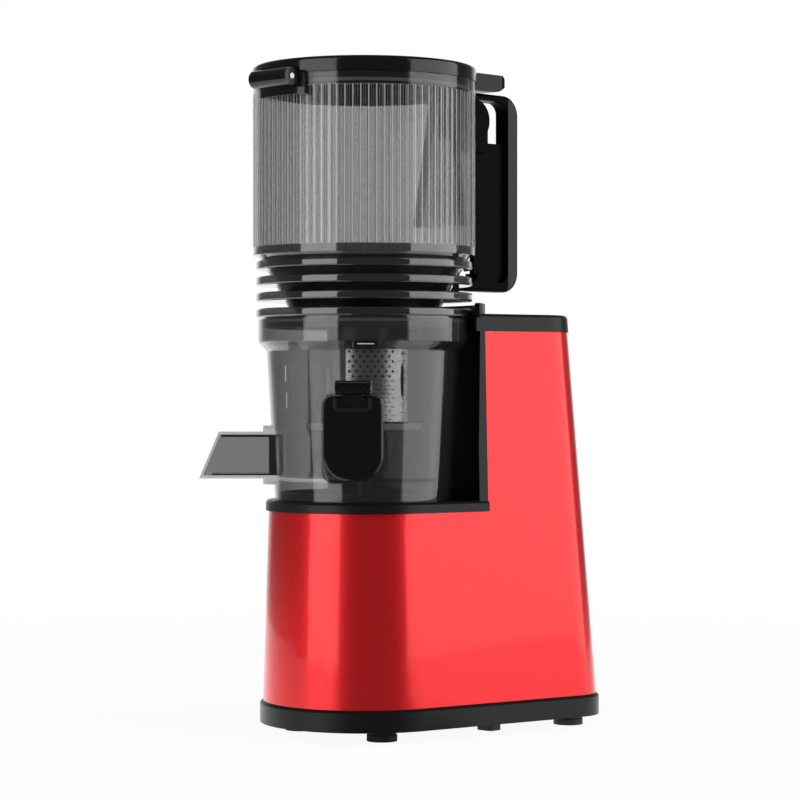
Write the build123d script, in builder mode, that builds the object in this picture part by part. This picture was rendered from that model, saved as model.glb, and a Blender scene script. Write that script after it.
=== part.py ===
"""Cold press juicer: motor base with a rear column, juicing drum, and a fluted hopper with a lid.

Millimetres, +Z up.  The front is -Y, the column and the handle are at the back.  Heights are
measured from the table.  Every piece is laid out from the drum's vertical axis.
"""

from build123d import *
import math
import os

os.makedirs("parts", exist_ok=True)

# ---------------------------------------------------------------- driving dimensions
drum_y = -31.0                # the drum's axis, ahead of the middle of the footprint

# clearances
slip = 0.3                    # between pieces that lift, swing or slide past each other
fit = 0.15                    # between pieces that are assembled once
running = 0.05                # radial, between a shaft and its bush

# red shell: its plan at the foot and at the head of the column
shell_foot = 22.4             # height where the shell meets the base tray
shell_head = 266.8            # height where the shell meets the column's cap
shell_wall = 2.5
foot_front_radius = 67.5
foot_half_width = 91.5
foot_back = 147.5             # from the drum's axis to the back face
foot_corner = 28.0
front_taper = 7.6             # how much smaller the plan is at the head than at the foot
side_taper = 8.5
back_taper = 20.0

# base tray and what it stands on
tray_bottom = 8.0
tray_floor = 3.0
tray_proud = 2.0              # how far the tray stands out beyond the shell
upstand_wall = 2.0
upstand_height = 5.0
foot_radius = 10.0
foot_groove = 1.2
front_foot = (39.0, -22.0)
back_foot = (68.0, 128.0)
pad_place = (51.0, 67.0)
foot_stem = 4.0
foot_split = 4.6              # height of the groove round each foot
pad_size = (14.0, 12.0)
screw_radius = 2.0
screw_head_radius = 3.6
screw_head_height = 2.4
post_radius = 5.0             # posts inside the shell that take the screws
post_height = 16.0
post_bite = 0.6               # how far each post runs into the wall behind it
front_post_angle = 35.0       # plan angle of the front posts, ahead of the sides
slot_row = (0.0, 112.0)       # intake slots under the motor
slot_count = 7
slot_pitch = 7.0
slot_length = 24.0
slot_width = 3.0

# deck and column
deck_bottom = 148.2
deck_top = 155.2
deck_proud = 2.0
deck_chamfer = 1.5
column_front = 41.5           # where the shell's column begins
strip_depth = 6.6             # black strip up the column's front edges
strip_proud = 0.8
liner_radius = 80.0           # concave wall of the column, about the drum's axis
liner_wall = 2.5
cap_top = 278.3
cap_radius = 76.5             # concave front edge of the cap
cap_edge = 3.0
rib_depth = 5.0               # rib under the deck and skirt under the cap, inside the shell
deck_plate = 3.5
hub_wall = 3.0
wire_hole = 8.0
wire_place = (-46.0, 106.0)
cap_wall = 2.5
lip_height = 7.0
lip_width = 4.0

# gear train: motor pinion -> idler wheel, idler pinion -> output gear
case_bottom = 14.0
case_floor = 3.0
case_wall = 2.5
case_rim = 50.0
cover_thickness = 3.0
first_module = 0.8
motor_teeth = 15
wheel_teeth = 75
second_module = 1.0
pinion_teeth = 16
output_teeth = 100
tooth_backlash = 0.32         # taken off the thickness of each tooth
output_gear_low = 21.0
output_face = 12.0
wheel_face = 10.0
gear_step = 2.0               # between the output gear and the idler wheel above it
motor_shaft_radius = 3.0
idler_axle_radius = 4.0
drive_radius = 7.0
drive_hex = 12.0              # across the flats
drive_top = 198.0
bush_radius = 11.0
bush_length = 5.0
boss_radius = 15.0
bearing_radius = 14.0
bearing_height = 9.0
bearing_race = 2.0            # width of each race of the deck's bearing
bearing_groove = 1.1          # how deep the gap between the races shows
bearing_drop = 2.0            # from the deck's underside down to the bearing
gear_space = 2.0              # between the output gear's tips and the case
case_back_radius = 30.0
pressure_angle = 20.0
dedendum = 1.25               # depth of the teeth below the pitch circle, in modules
web_holes = 6                 # lightening holes in the output gear

# motor
motor_radius = 36.0
motor_wall = 1.5
motor_top = 134.0
stator_bore = 19.0
stator_low = 70.0
stator_high = 118.0
air_gap = 0.6
end_bell_height = 4.0
fan_radius = 25.0
fan_height = 6.0
fan_blades = 9
winding_height = 7.0
motor_screw_circle = 28.0     # radius of the circle of screws under the motor
motor_screw_count = 4
fan_gap = 1.0                 # between the end bell and the fan, and above the fan
fan_disc = 1.0
fan_blade = 1.2
shaft_lead = 1.0              # how far the motor's shaft stands out below its pinion

# juicing drum
bowl_foot = deck_top + slip
bowl_foot_radius = 59.5
bowl_shoulder = 253.7
bowl_shoulder_radius = 65.0
bowl_collar = 259.7
bowl_collar_radius = 70.7
bowl_top = 275.0
bowl_wall = 2.2
bowl_floor = 170.5
bowl_floor_wall = 2.5
hub_radius = 11.0
hub_bore = 8.0
hub_top = 180.0

# juice outlet and pulp spout
outlet_angle = -49.5
neck_width = 42.0
neck_low = 168.0
neck_high = 226.0
neck_reach = 71.5             # from the drum's axis to the face under the flap
neck_wall = 2.5
outlet_hole = 24.0
outlet_hole_low = 176.0
cap_width = 38.5
cap_low = 170.0
cap_high = 224.2
juice_cap_thickness = 5.3
cap_round = 16.0
cap_shoulder = 7.0
cap_hinge_rise = 3.5          # from the neck's top to the flap's hinge
cap_hinge_reach = 77.0
cap_knuckle = 4.6
cap_pin_radius = 1.5
bracket_width = 22.6
cap_seal_width = 3.0
cap_seal_depth = 1.0
knuckle_width = 13.0
passage_root = 33.0           # radius where the passages of the outlet and the spout begin
spout_angle = -135.0
spout_width = 30.0
spout_low = 169.5
spout_high = 200.5
spout_reach_low = 109.0
spout_reach_high = 96.0
spout_wall = 2.0
spout_flange = 4.0
spout_flange_reach = 66.5

# strainer and auger
strainer_radius = 38.0
strainer_wall = 2.0
strainer_top = 257.5
strainer_rim = 2.0
strainer_foot = 6.0
window_low = 207.0
window_high = 255.0
window_from = -63.0           # plan angles of the window that faces the outlet
window_to = 5.0
window_count = 2
mesh_thickness = 0.6
auger_clearance = 1.4
auger_bottom = 174.0
seal_height = 3.0
seal_width = 5.0
auger_core_low = 17.0
auger_core_high = 25.0
auger_flight_width = 5.0
auger_flights = 2
auger_turns = 1.25
auger_top = 290.0
blade_turn = 70.0             # degrees that the feeding blade winds round its cone
auger_blade_radius = 41.0
hex_low = 172.0               # where the drive shaft turns from round to hexagonal

# hopper
hopper_radius = 74.0
hopper_wall = 3.0
hopper_low = 321.5
hopper_top = 432.0
funnel_low_radius = 47.0
funnel_high_radius = 70.4
funnel_low = 275.9
funnel_high = 317.0
fin_radius = 72.0
fin_thickness = 5.8
fin_pitch = 10.6
fin_count = 4
spigot_depth = 7.0
spigot_clearance = 1.0
flute_count = 90
flute_low = 322.5
flute_margin = 8.3            # from the flutes' tops to the cup's rim
flute_high = hopper_top - flute_margin
flute_depth = 0.6
flute_tool = 1.6

# handle on the hopper's back
handle_width = 12.0
handle_reach = 146.2
handle_low = 296.2
handle_rise = 2.0             # from the cup's rim to the handle's top
handle_top = hopper_top + handle_rise
handle_round = 14.0
inner_round = 8.0
rim_thickness = 11.2
web_thickness = 4.0
web_inner = 104.0             # where the web begins behind the fingers
top_arm = 5.0
bottom_arm = 6.5
button_drop = 17.0            # from the cup's rim to the latch button's axis
button_z = hopper_top - button_drop
slot_drop = 15.0              # from the button's axis to the foot of the slot through the web
slot_low = button_z - slot_drop
slot_round = 5.0
stalk_drop = 22.0             # from the button's axis to the foot of its stalk
stalk_low = button_z - stalk_drop
stalk_half_width = 12.5
bridge_half_height = 3.0      # bridge between the pad and the guide tube
tongue_fin = 1                # the tongue seats on this fin, counted from the lowest
plate_low = 340.0
plate_margin = 2.0            # from the plate's top to the cup's rim
plate_high = hopper_top - plate_margin
plate_low_half_width = 24.0
plate_high_half_width = 10.8
plate_thickness = 3.0
pad_thickness = 4.0
pad_drop = 32.0               # from the cup's rim to the foot of the handle's upper pad
pad_low = hopper_top - pad_drop
opening_round = 6.0
rim_edge = 3.0
magnet_radius = 3.0
magnet_height = 3.0
magnet_y = 92.0
handle_screw_radius = 1.8
handle_screw_drops = (28.0, 8.0)
handle_screw_length = 6.0
button_radius = 12.0
button_y = 101.6
button_travel = 2.5
button_guide = 2.0
button_proud = 0.8
spring_radius = 6.0
spring_wire = 0.5
spring_turns = 4
spring_seat_depth = 3.0

# lid
lid_radius = 74.5
lid_height = 10.0             # from the cup's rim to the lid's top
lid_round = 2.5
plug_depth = 8.0
plug_clearance = 1.6
hinge_y = -81.8
hinge_drop = 3.0              # from the cup's rim to the hinge's axis
hinge_z = hopper_top - hinge_drop
hinge_radius = 5.8
hinge_half_width = 17.5
hinge_bracket_half_width = 21.0
lid_knuckle_half_width = 11.7
lid_pin_radius = 1.8
tab_reach = 132.3
tab_width = 24.0
tab_rise = 4.6                # from the lid's top to the tab's top
tab_under = 3.0               # from the lid's lower edge to the tab's underside
tab_root = 8.0                # from the lid's edge to where the tab's top is level
tab_nose = 13.0               # length of the slope under the tip
tab_bevel = 9.0               # length of the bevel over the tip
tab_drop = 5.1                # from the tab's top down to its tip
tab_round = 2.0
lid_crown = 0.6
lid_wall = 3.0
gasket_depth = 1.6
gasket_height = 2.4
gasket_drop = 6.0             # from the cup's rim to the gasket's underside
gasket_low = hopper_top - gasket_drop
lid_bracket_drop = 14.0       # from the cup's rim to the bracket's foot
lid_bracket_low = hopper_top - lid_bracket_drop
pin_proud = 0.6

# control and mains inlet
knob_height = 105.0
knob_y = 45.0
knob_radius = 18.0
knob_depth = 14.0
knob_draft = 4.0              # degrees
bezel_radius = 23.0
bezel_proud = 3.0
bezel_wall = 2.0
knob_shaft_radius = 3.0
knob_shaft = 10.0
grip_width = 9.0
switch_radius = 15.0
switch_depth = 22.0
inlet_x = -42.0
inlet_height = 72.0
inlet_width = 27.0
inlet_tall = 20.0
inlet_depth = 20.0
inlet_wall = 1.8
inlet_flange = 3.0
inlet_proud = 2.5
inlet_corner = 2.0
blade_size = (2.0, 4.0)
blade_length = 10.0
blade_places = ((-6.5, -2.0), (6.5, -2.0), (0.0, 3.0))

# electronics in the column
board_y = 97.0
board_width = 66.0
board_low = 172.0
board_high = 244.0
board_thickness = 1.6
standoff_radius = 3.5
capacitor_radius = 13.0
capacitor_height = 46.0
capacitor_inset = 31.0         # from the column's side at its head to the capacitor's axis
capacitor_y = 104.0
board_screw_radius = 1.4
board_screw_length = 8.0
sensor_size = (16.0, 8.0)
sensor_height = 8.0

drum = Plane((0, drum_y, 0))
drum_axis = Axis((0, drum_y, 0), (0, 0, 1))
drum_section = Plane(origin=(0, drum_y, 0), x_dir=(1, 0, 0), z_dir=(0, -1, 0))    # radius, height
side_section = Plane(origin=(0, drum_y, 0), x_dir=(0, 1, 0), z_dir=(1, 0, 0))     # distance back, height


def save(piece, label):
    """Name a finished piece and write its STEP file."""
    piece.part.label = label
    export_step(piece.part, f"parts/{label}.step")


def radial_plane(angle):
    """Upright plane through the drum's axis that looks out along a plan angle."""
    out = Vector(1, 0, 0).rotate(Axis.Z, angle)
    return Plane(origin=(0, drum_y, 0), x_dir=out.rotate(Axis.Z, 90), z_dir=out)


def radial_section(angle):
    """Upright plane that holds the drum's axis: local x is the radius, local y the height."""
    out = Vector(1, 0, 0).rotate(Axis.Z, angle)
    return Plane(origin=(0, drum_y, 0), x_dir=out, z_dir=out.rotate(Axis.Z, -90))


def ring(radius, bore, low, high, place=(0, 0), mode=Mode.ADD):
    """A plain tube about an upright axis."""
    with BuildSketch(drum.offset(low)) as section:
        with Locations(place):
            Circle(radius)
            Circle(bore, mode=Mode.SUBTRACT)
    extrude(section.sketch, amount=high - low, mode=mode)


def disc(radius, low, high, place=(0, 0), mode=Mode.ADD):
    """A plain cylinder about an upright axis."""
    with BuildSketch(drum.offset(low)) as section:
        with Locations(place):
            Circle(radius)
    extrude(section.sketch, amount=high - low, mode=mode)


def turned(*points, mode=Mode.ADD):
    """An outline of radius and height, revolved about the drum's axis."""
    with BuildSketch(drum_section) as section:
        with BuildLine() as outline:
            Polyline(*points, close=True)
        make_face(outline.edges())
    revolve(section.sketch, axis=drum_axis, mode=mode)


def bar(plane, width, height, depth, place=(0, 0), corner=0.0, mode=Mode.ADD):
    """A rectangular bar that runs out from a plane, with its corners rounded if asked."""
    with BuildSketch(plane) as section:
        with Locations(place):
            if corner:
                RectangleRounded(width, height, corner)
            else:
                Rectangle(width, height)
    extrude(section.sketch, amount=depth, mode=mode)


def plate(plane, points, half_width, mode=Mode.ADD):
    """An outline drawn on an upright plane, thickened by the same amount to both sides."""
    with BuildSketch(plane) as section:
        with BuildLine() as outline:
            Polyline(*points, close=True)
        make_face(outline.edges())
    extrude(section.sketch, amount=half_width, both=True, mode=mode)


# ---------------------------------------------------------------- plan of the housing
def side_angle(front_radius, half_width, back, corner):
    """Plan angle of the right side's outward normal, in radians; below zero it leans forward."""
    centre = (half_width - corner, back - corner)
    return math.atan2(centre[1], centre[0]) - math.acos((front_radius - corner) / math.hypot(*centre))


def plan_outline(front_radius, half_width, back, corner, mode=Mode.ADD):
    """Front arc about the drum's axis, two flaring sides and two rounded back corners."""
    centre = (half_width - corner, back - corner)
    side = side_angle(front_radius, half_width, back, corner)
    normal = (math.cos(side), math.sin(side))
    front = (front_radius * normal[0], front_radius * normal[1])
    rear = (centre[0] + corner * normal[0], centre[1] + corner * normal[1])
    side = math.degrees(side)
    with BuildLine() as outline:
        CenterArc((0, 0), front_radius, side, -(180 + 2 * side))
        Line(front, rear)
        CenterArc(centre, corner, side, 90 - side)
        Line((centre[0], back), (-centre[0], back))
        CenterArc((-centre[0], centre[1]), corner, 90, 90 - side)
        Line((-rear[0], rear[1]), (-front[0], front[1]))
    make_face(outline.edges(), mode=mode)


def plan_sizes(height, grow=0.0):
    """Front radius, half width, back and corner radius of the housing at a height."""
    share = (height - shell_foot) / (shell_head - shell_foot)
    foot = (foot_front_radius, foot_half_width, foot_back)
    taper = (front_taper, side_taper, back_taper)
    return [size - share * less + grow for size, less in zip(foot, taper)] + [foot_corner + grow]


def plan_at(height, grow=0.0, mode=Mode.ADD):
    """The housing's plan at a height, offset outwards by grow."""
    plan_outline(*plan_sizes(height, grow), mode)


def plan_block(low, high, grow=0.0):
    """The housing's tapering outline between two heights, as a solid."""
    with BuildPart() as block:
        with BuildSketch(drum.offset(low)):
            plan_at(low, grow)
        with BuildSketch(drum.offset(high)):
            plan_at(high, grow)
        loft(ruled=True)
    return block.part


def slab(front, back, low, high, mode=Mode.INTERSECT):
    """A plain block across the whole width, between two distances behind the drum's axis."""
    with BuildSketch(drum.offset(low)) as section:
        with Locations((0, (front + back) / 2)):
            Rectangle(4 * foot_half_width, back - front)
    extrude(section.sketch, amount=high - low, mode=mode)


far = 2 * foot_back           # reaches past the housing in any direction
shell_outer = plan_block(shell_foot, shell_head)
shell_inner = plan_block(shell_foot, shell_head, -shell_wall)
inside = plan_block(shell_foot, shell_head, -shell_wall - fit)

# where the control's axis leaves the left side wall, and the wall's outward normal there
knob_side = side_angle(*plan_sizes(knob_height))
knob_wall = (plan_sizes(knob_height)[0] - knob_y * math.sin(knob_side)) / math.cos(knob_side)
knob_out = Vector(-math.cos(knob_side), math.sin(knob_side), 0)
knob_plane = Plane(
    origin=(-knob_wall, drum_y + knob_y, knob_height),
    x_dir=knob_out.rotate(Axis.Z, 90),
    z_dir=knob_out,
)

# the back wall at the mains inlet
inlet_plane = Plane(
    origin=(inlet_x, drum_y + plan_sizes(inlet_height)[2], inlet_height),
    x_dir=(-1, 0, 0),
    z_dir=(0, 1, 0),
)

# posts inside the shell, against its walls, that take the tray's screws
post_inset = shell_wall + post_radius - post_bite
front_post = Vector(foot_front_radius - post_inset, 0).rotate(Axis.Z, -front_post_angle)
back_post = (foot_half_width - foot_corner - post_radius, foot_back - post_inset)
post_places = [
    (front_post.X, front_post.Y),
    (-front_post.X, front_post.Y),
    back_post,
    (-back_post[0], back_post[1]),
]
foot_places = [
    (side * place[0], place[1]) for place in (front_foot, back_foot) for side in (1, -1)
]

# gear centres on one line from the drum's axis to the back
idler_y = second_module * (pinion_teeth + output_teeth) / 2
motor_y = idler_y + first_module * (motor_teeth + wheel_teeth) / 2
case_front_radius = second_module * (output_teeth / 2 + 1) + gear_space + case_wall

# ---------------------------------------------------------------- base tray and feet
with BuildPart() as base_plate:
    with BuildSketch(drum.offset(tray_bottom)):
        plan_at(shell_foot, tray_proud)
    extrude(amount=shell_foot - tray_bottom)
    chamfer(base_plate.edges().group_by(Axis.Z)[-1], tray_proud - fit)
    with BuildSketch(drum.offset(shell_foot)):
        plan_at(shell_foot + upstand_height, -shell_wall - fit)
    extrude(amount=upstand_height)
    with BuildSketch(drum.offset(tray_bottom + tray_floor)):
        plan_at(shell_foot + upstand_height, -shell_wall - fit - upstand_wall)
    extrude(amount=far, mode=Mode.SUBTRACT)
    with BuildSketch(drum.offset(shell_foot)):
        with Locations(*post_places):
            Circle(post_radius + fit)
    extrude(amount=upstand_height, mode=Mode.SUBTRACT)
    # seats under the shell's posts and under the gearbox
    with BuildSketch(drum.offset(tray_bottom + tray_floor)):
        with Locations(*post_places):
            Circle(post_radius)
    extrude(amount=shell_foot - tray_bottom - tray_floor)
    with BuildSketch(drum.offset(tray_bottom + tray_floor)):
        with Locations((0, 0), (0, idler_y), (0, motor_y)):
            Circle(boss_radius)
    extrude(amount=case_bottom - tray_bottom - tray_floor)
    # holes for the screws and the feet, and intake slots under the motor
    with BuildSketch(drum.offset(tray_bottom)):
        with Locations(*post_places):
            Circle(screw_radius + fit)
        with Locations(*foot_places):
            Circle(foot_stem + fit)
        with Locations(slot_row):
            with GridLocations(slot_pitch, 1, slot_count, 1):
                SlotOverall(slot_length, slot_width, rotation=90)
    extrude(amount=far, mode=Mode.SUBTRACT)
    with BuildSketch(drum.offset(tray_bottom)):
        with Locations(*post_places):
            Circle(screw_head_radius + fit)
    extrude(amount=screw_head_height + fit, mode=Mode.SUBTRACT)
save(base_plate, "base_plate")

with BuildPart() as rubber_feet:
    for place in foot_places:
        disc(foot_radius, 0, foot_split - foot_groove / 2, place)
        disc(foot_radius - foot_groove, foot_split - foot_groove / 2, foot_split + foot_groove / 2, place)
        disc(foot_radius, foot_split + foot_groove / 2, tray_bottom, place)
        disc(foot_stem, tray_bottom, tray_bottom + tray_floor + fit, place)
save(rubber_feet, "rubber_feet")

with BuildPart() as side_pads:
    with BuildSketch(drum):
        with Locations(pad_place, (-pad_place[0], pad_place[1])):
            RectangleRounded(*pad_size, pad_size[0] / 4)
    extrude(amount=tray_bottom)
save(side_pads, "side_pads")

with BuildPart() as base_screws:
    for place in post_places:
        disc(screw_head_radius, tray_bottom + fit, tray_bottom + fit + screw_head_height, place)
        disc(screw_radius, tray_bottom + fit, shell_foot + post_height - post_radius, place)
save(base_screws, "base_screws")

# ---------------------------------------------------------------- red shell
with BuildPart() as body_shell:
    with BuildSketch(drum.offset(shell_foot)):
        with Locations(*post_places):
            Circle(post_radius)
    extrude(amount=post_height)
    add(shell_outer - shell_inner)
    slab(-far, column_front, deck_bottom, shell_head, mode=Mode.SUBTRACT)
    with BuildSketch(drum.offset(shell_foot)):
        with Locations(*post_places):
            Circle(screw_radius + fit)
    extrude(amount=post_height - post_radius + fit, mode=Mode.SUBTRACT)
    # opening for the control's bezel on the left, and for the mains inlet at the back
    with BuildSketch(knob_plane):
        Circle(switch_radius + bezel_wall + fit)
    extrude(amount=2 * shell_wall + bezel_proud, both=True, mode=Mode.SUBTRACT)
    bar(inlet_plane, inlet_width + 2 * fit, inlet_tall + 2 * fit, 2 * shell_wall,
        corner=inlet_corner + fit, mode=Mode.SUBTRACT)
    bar(inlet_plane, inlet_width + 2 * fit, inlet_tall + 2 * fit, -4 * shell_wall,
        corner=inlet_corner + fit, mode=Mode.SUBTRACT)
save(body_shell, "body_shell")

# ---------------------------------------------------------------- deck, its ring and the column's trim
bearing_low = deck_top - deck_plate - bearing_height - bearing_drop
seal_radius = drive_radius + seal_width

with BuildPart() as column_strips:
    add(plan_block(deck_bottom, shell_head, strip_proud))
    slab(column_front - strip_depth, column_front, deck_bottom, shell_head)
    disc(liner_radius, deck_bottom, shell_head, mode=Mode.SUBTRACT)

with BuildPart() as deck_frame:
    with BuildSketch(drum.offset(deck_bottom)):
        plan_at(deck_bottom, deck_proud)
    extrude(amount=deck_top - deck_bottom)
    chamfer(deck_frame.edges().group_by(Axis.Z)[-1], deck_chamfer)
    slab(-far, column_front, deck_bottom, deck_top)
    add(column_strips.part)
    # plate and rib inside the shell
    with BuildSketch(drum.offset(deck_bottom - rib_depth)):
        plan_at(deck_top, -shell_wall - fit)
    extrude(amount=deck_top - deck_bottom + rib_depth)
    with BuildSketch(drum.offset(deck_bottom - rib_depth)):
        plan_at(deck_top, -shell_wall - fit - upstand_wall)
    extrude(amount=deck_top - deck_plate - deck_bottom + rib_depth, mode=Mode.SUBTRACT)
    # hub that holds the bearing and the seal of the drive shaft
    disc(bearing_radius + hub_wall, bearing_low - fit, deck_top)
    disc(bearing_radius + running, bearing_low - fit, bearing_low + bearing_height, mode=Mode.SUBTRACT)
    disc(drive_radius + slip, bearing_low, deck_top, mode=Mode.SUBTRACT)
    disc(seal_radius + running, deck_top - seal_height, deck_top, mode=Mode.SUBTRACT)
    # ring that centres the drum, and a hole for the wires
    ring(bowl_foot_radius - bowl_wall - slip, bowl_foot_radius - 2 * bowl_wall - slip,
         deck_top, deck_top + rib_depth)
    disc(wire_hole, deck_bottom, deck_top, wire_place, mode=Mode.SUBTRACT)
save(deck_frame, "deck_frame")

with BuildPart() as deck_bearing:
    ring(bearing_radius, drive_radius + running, bearing_low, bearing_low + bearing_height)
    ring(bearing_radius - bearing_race, drive_radius + bearing_race,
         bearing_low, bearing_low + bearing_groove, mode=Mode.SUBTRACT)
save(deck_bearing, "deck_bearing")

with BuildPart() as deck_seal:
    ring(seal_radius, drive_radius + running, deck_top - seal_height, deck_top)
save(deck_seal, "deck_seal")

# standoffs on the liner that carry the control board
standoff_places = [
    (side * (board_width / 2 - 2 * standoff_radius), height)
    for side in (-1, 1)
    for height in (board_low + 2 * standoff_radius, board_high - 2 * standoff_radius)
]
standoff_plane = Plane(origin=(0, drum_y + board_y, 0), x_dir=(1, 0, 0), z_dir=(0, -1, 0))
liner_face = liner_radius * math.cos(math.asin(board_width / 2 / liner_radius))

with BuildPart() as column_liner:
    add(inside)
    slab(column_front, far, deck_top, shell_head)
    disc(liner_radius + liner_wall, deck_top, shell_head, mode=Mode.INTERSECT)
    with BuildSketch(standoff_plane):
        with Locations(*standoff_places):
            Circle(standoff_radius)
    extrude(amount=board_y - liner_face)
    disc(liner_radius, deck_top, shell_head, mode=Mode.SUBTRACT)
    with BuildSketch(standoff_plane):
        with Locations(*standoff_places):
            Circle(board_screw_radius + fit)
    extrude(amount=board_screw_length, mode=Mode.SUBTRACT)
save(column_liner, "column_liner")

with BuildPart() as column_cap:
    add(plan_block(shell_head, cap_top, strip_proud))
    fillet(column_cap.edges().group_by(Axis.Z)[-1], cap_edge)
    slab(column_front - strip_depth, far, shell_head, cap_top)
    disc(cap_radius, shell_head, cap_top, mode=Mode.SUBTRACT)
    with BuildSketch(drum.offset(shell_head)) as hollow:
        plan_at(cap_top, -cap_wall)
        Circle(cap_radius + lip_width, mode=Mode.SUBTRACT)
        with Locations((0, column_front - foot_back)):
            Rectangle(4 * foot_half_width, 2 * foot_back, mode=Mode.SUBTRACT)
    extrude(hollow.sketch, amount=cap_top - cap_wall - shell_head, mode=Mode.SUBTRACT)
    # raised lip behind the hopper
    with BuildSketch(drum.offset(cap_top - cap_wall)) as lip:
        Circle(cap_radius + lip_width)
        Circle(cap_radius, mode=Mode.SUBTRACT)
        with Locations((0, column_front - strip_depth - foot_back)):
            Rectangle(4 * foot_half_width, 2 * foot_back, mode=Mode.SUBTRACT)
    extrude(lip.sketch, amount=cap_wall + lip_height)
    fillet(column_cap.edges().group_by(Axis.Z)[-1], lip_width / 4)
    # skirt inside the shell
    with BuildSketch(drum.offset(shell_head - rib_depth)) as skirt:
        plan_at(shell_head, -shell_wall - fit)
        plan_at(shell_head, -shell_wall - fit - upstand_wall, mode=Mode.SUBTRACT)
        with Locations((0, liner_radius - foot_back)):
            Rectangle(4 * foot_half_width, 2 * foot_back, mode=Mode.SUBTRACT)
    extrude(skirt.sketch, amount=rib_depth)
save(column_cap, "column_cap")

# ---------------------------------------------------------------- control on the left side
with BuildPart() as knob_bezel:
    with BuildSketch(knob_plane.offset(-shell_wall)):
        Circle(bezel_radius)
    extrude(amount=shell_wall + bezel_proud)
    add(shell_outer, mode=Mode.SUBTRACT)
    with BuildSketch(knob_plane.offset(-switch_depth)):
        Circle(switch_radius + bezel_wall)
        Circle(switch_radius, mode=Mode.SUBTRACT)
    extrude(amount=switch_depth + bezel_proud / 2)
    with BuildSketch(knob_plane.offset(-shell_wall)):
        Circle(knob_shaft_radius + slip)
    extrude(amount=shell_wall + bezel_proud, mode=Mode.SUBTRACT)
save(knob_bezel, "knob_bezel")

with BuildPart() as selector_switch:
    with BuildSketch(knob_plane.offset(-switch_depth)):
        Circle(switch_radius - fit)
    extrude(amount=switch_depth - bezel_proud / 2)
    with BuildSketch(knob_plane.offset(-bezel_proud)):
        Circle(knob_shaft_radius)
    extrude(amount=2 * bezel_proud + knob_shaft)
save(selector_switch, "selector_switch")

with BuildPart() as selector_knob:
    with BuildSketch(knob_plane.offset(bezel_proud + slip)):
        Circle(knob_radius)
    extrude(amount=knob_depth / 2, taper=knob_draft)
    with BuildSketch(knob_plane.offset(bezel_proud + slip)):
        SlotOverall(2 * knob_radius - grip_width / 3, grip_width, rotation=90)
    extrude(amount=knob_depth)
    with BuildSketch(knob_plane):
        Circle(knob_shaft_radius + running)
    extrude(amount=bezel_proud + knob_shaft + slip, mode=Mode.SUBTRACT)
save(selector_knob, "selector_knob")

# ---------------------------------------------------------------- mains inlet at the back
with BuildPart() as power_inlet:
    bar(inlet_plane.offset(-shell_wall), inlet_width + 2 * inlet_flange, inlet_tall + 2 * inlet_flange,
        shell_wall + inlet_proud, corner=inlet_corner + inlet_wall / 2)
    add(shell_outer, mode=Mode.SUBTRACT)
    bar(inlet_plane.offset(-inlet_depth), inlet_width, inlet_tall, inlet_depth + inlet_proud / 2,
        corner=inlet_corner)
    bar(inlet_plane.offset(-inlet_depth + inlet_wall), inlet_width - 2 * inlet_wall,
        inlet_tall - 2 * inlet_wall, inlet_depth + inlet_proud, corner=inlet_corner / 2,
        mode=Mode.SUBTRACT)
save(power_inlet, "power_inlet")

with BuildPart() as inlet_pins:
    for place in blade_places:
        bar(inlet_plane.offset(-inlet_depth + inlet_wall), *blade_size, blade_length, place)
save(inlet_pins, "inlet_pins")

# ---------------------------------------------------------------- gearbox
wheel_low = output_gear_low + output_face + gear_step
wheel_high = wheel_low + wheel_face
boss_top = output_gear_low - 2 * slip
axle_boss = 2 * idler_axle_radius
ear_radius = 4.0
ear_screw = 1.5
pitch_edge = math.asin((case_front_radius - case_back_radius) / motor_y)
edge_out = (math.cos(pitch_edge), math.sin(pitch_edge))
ear_share = 0.45              # how far back along the case's straight sides the rear ears stand
edge_ear = [
    (1 - ear_share) * case_front_radius * edge_out[0] + ear_share * case_back_radius * edge_out[0],
    (1 - ear_share) * case_front_radius * edge_out[1]
    + ear_share * (motor_y + case_back_radius * edge_out[1]),
]
ear_places = [
    (0, -case_front_radius),
    (case_front_radius, 0),
    (-case_front_radius, 0),
    (edge_ear[0], edge_ear[1]),
    (-edge_ear[0], edge_ear[1]),
]


def case_block(low, high, grow=0.0, mode=Mode.ADD):
    """The gearbox's outline, a circle round each end of the train with straight sides between."""
    near = case_front_radius + grow
    rear = case_back_radius + grow
    with BuildSketch(drum.offset(low)) as section:
        Circle(near)
        with Locations((0, motor_y)):
            Circle(rear)
        Polygon(
            (near * edge_out[0], near * edge_out[1]),
            (rear * edge_out[0], motor_y + rear * edge_out[1]),
            (-rear * edge_out[0], motor_y + rear * edge_out[1]),
            (-near * edge_out[0], near * edge_out[1]),
            align=None,
        )
    extrude(section.sketch, amount=high - low, mode=mode)


with BuildPart() as gearbox_case:
    with BuildSketch(drum.offset(case_bottom)):
        with Locations(*ear_places):
            Circle(ear_radius)
    extrude(amount=case_rim - case_bottom)
    case_block(case_bottom, case_rim)
    case_block(case_bottom + case_floor, case_rim, -case_wall, mode=Mode.SUBTRACT)
    disc(boss_radius, case_bottom, boss_top)
    disc(axle_boss, case_bottom, boss_top, (0, idler_y))
    disc(bush_radius + running, boss_top - bush_length, boss_top, mode=Mode.SUBTRACT)
    disc(idler_axle_radius + running, boss_top - bush_length, boss_top, (0, idler_y), mode=Mode.SUBTRACT)
    with BuildSketch(drum.offset(case_rim)):
        with Locations(*ear_places):
            Circle(ear_screw + fit)
    extrude(amount=-3 * ear_radius, mode=Mode.SUBTRACT)
save(gearbox_case, "gearbox_case")

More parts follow.
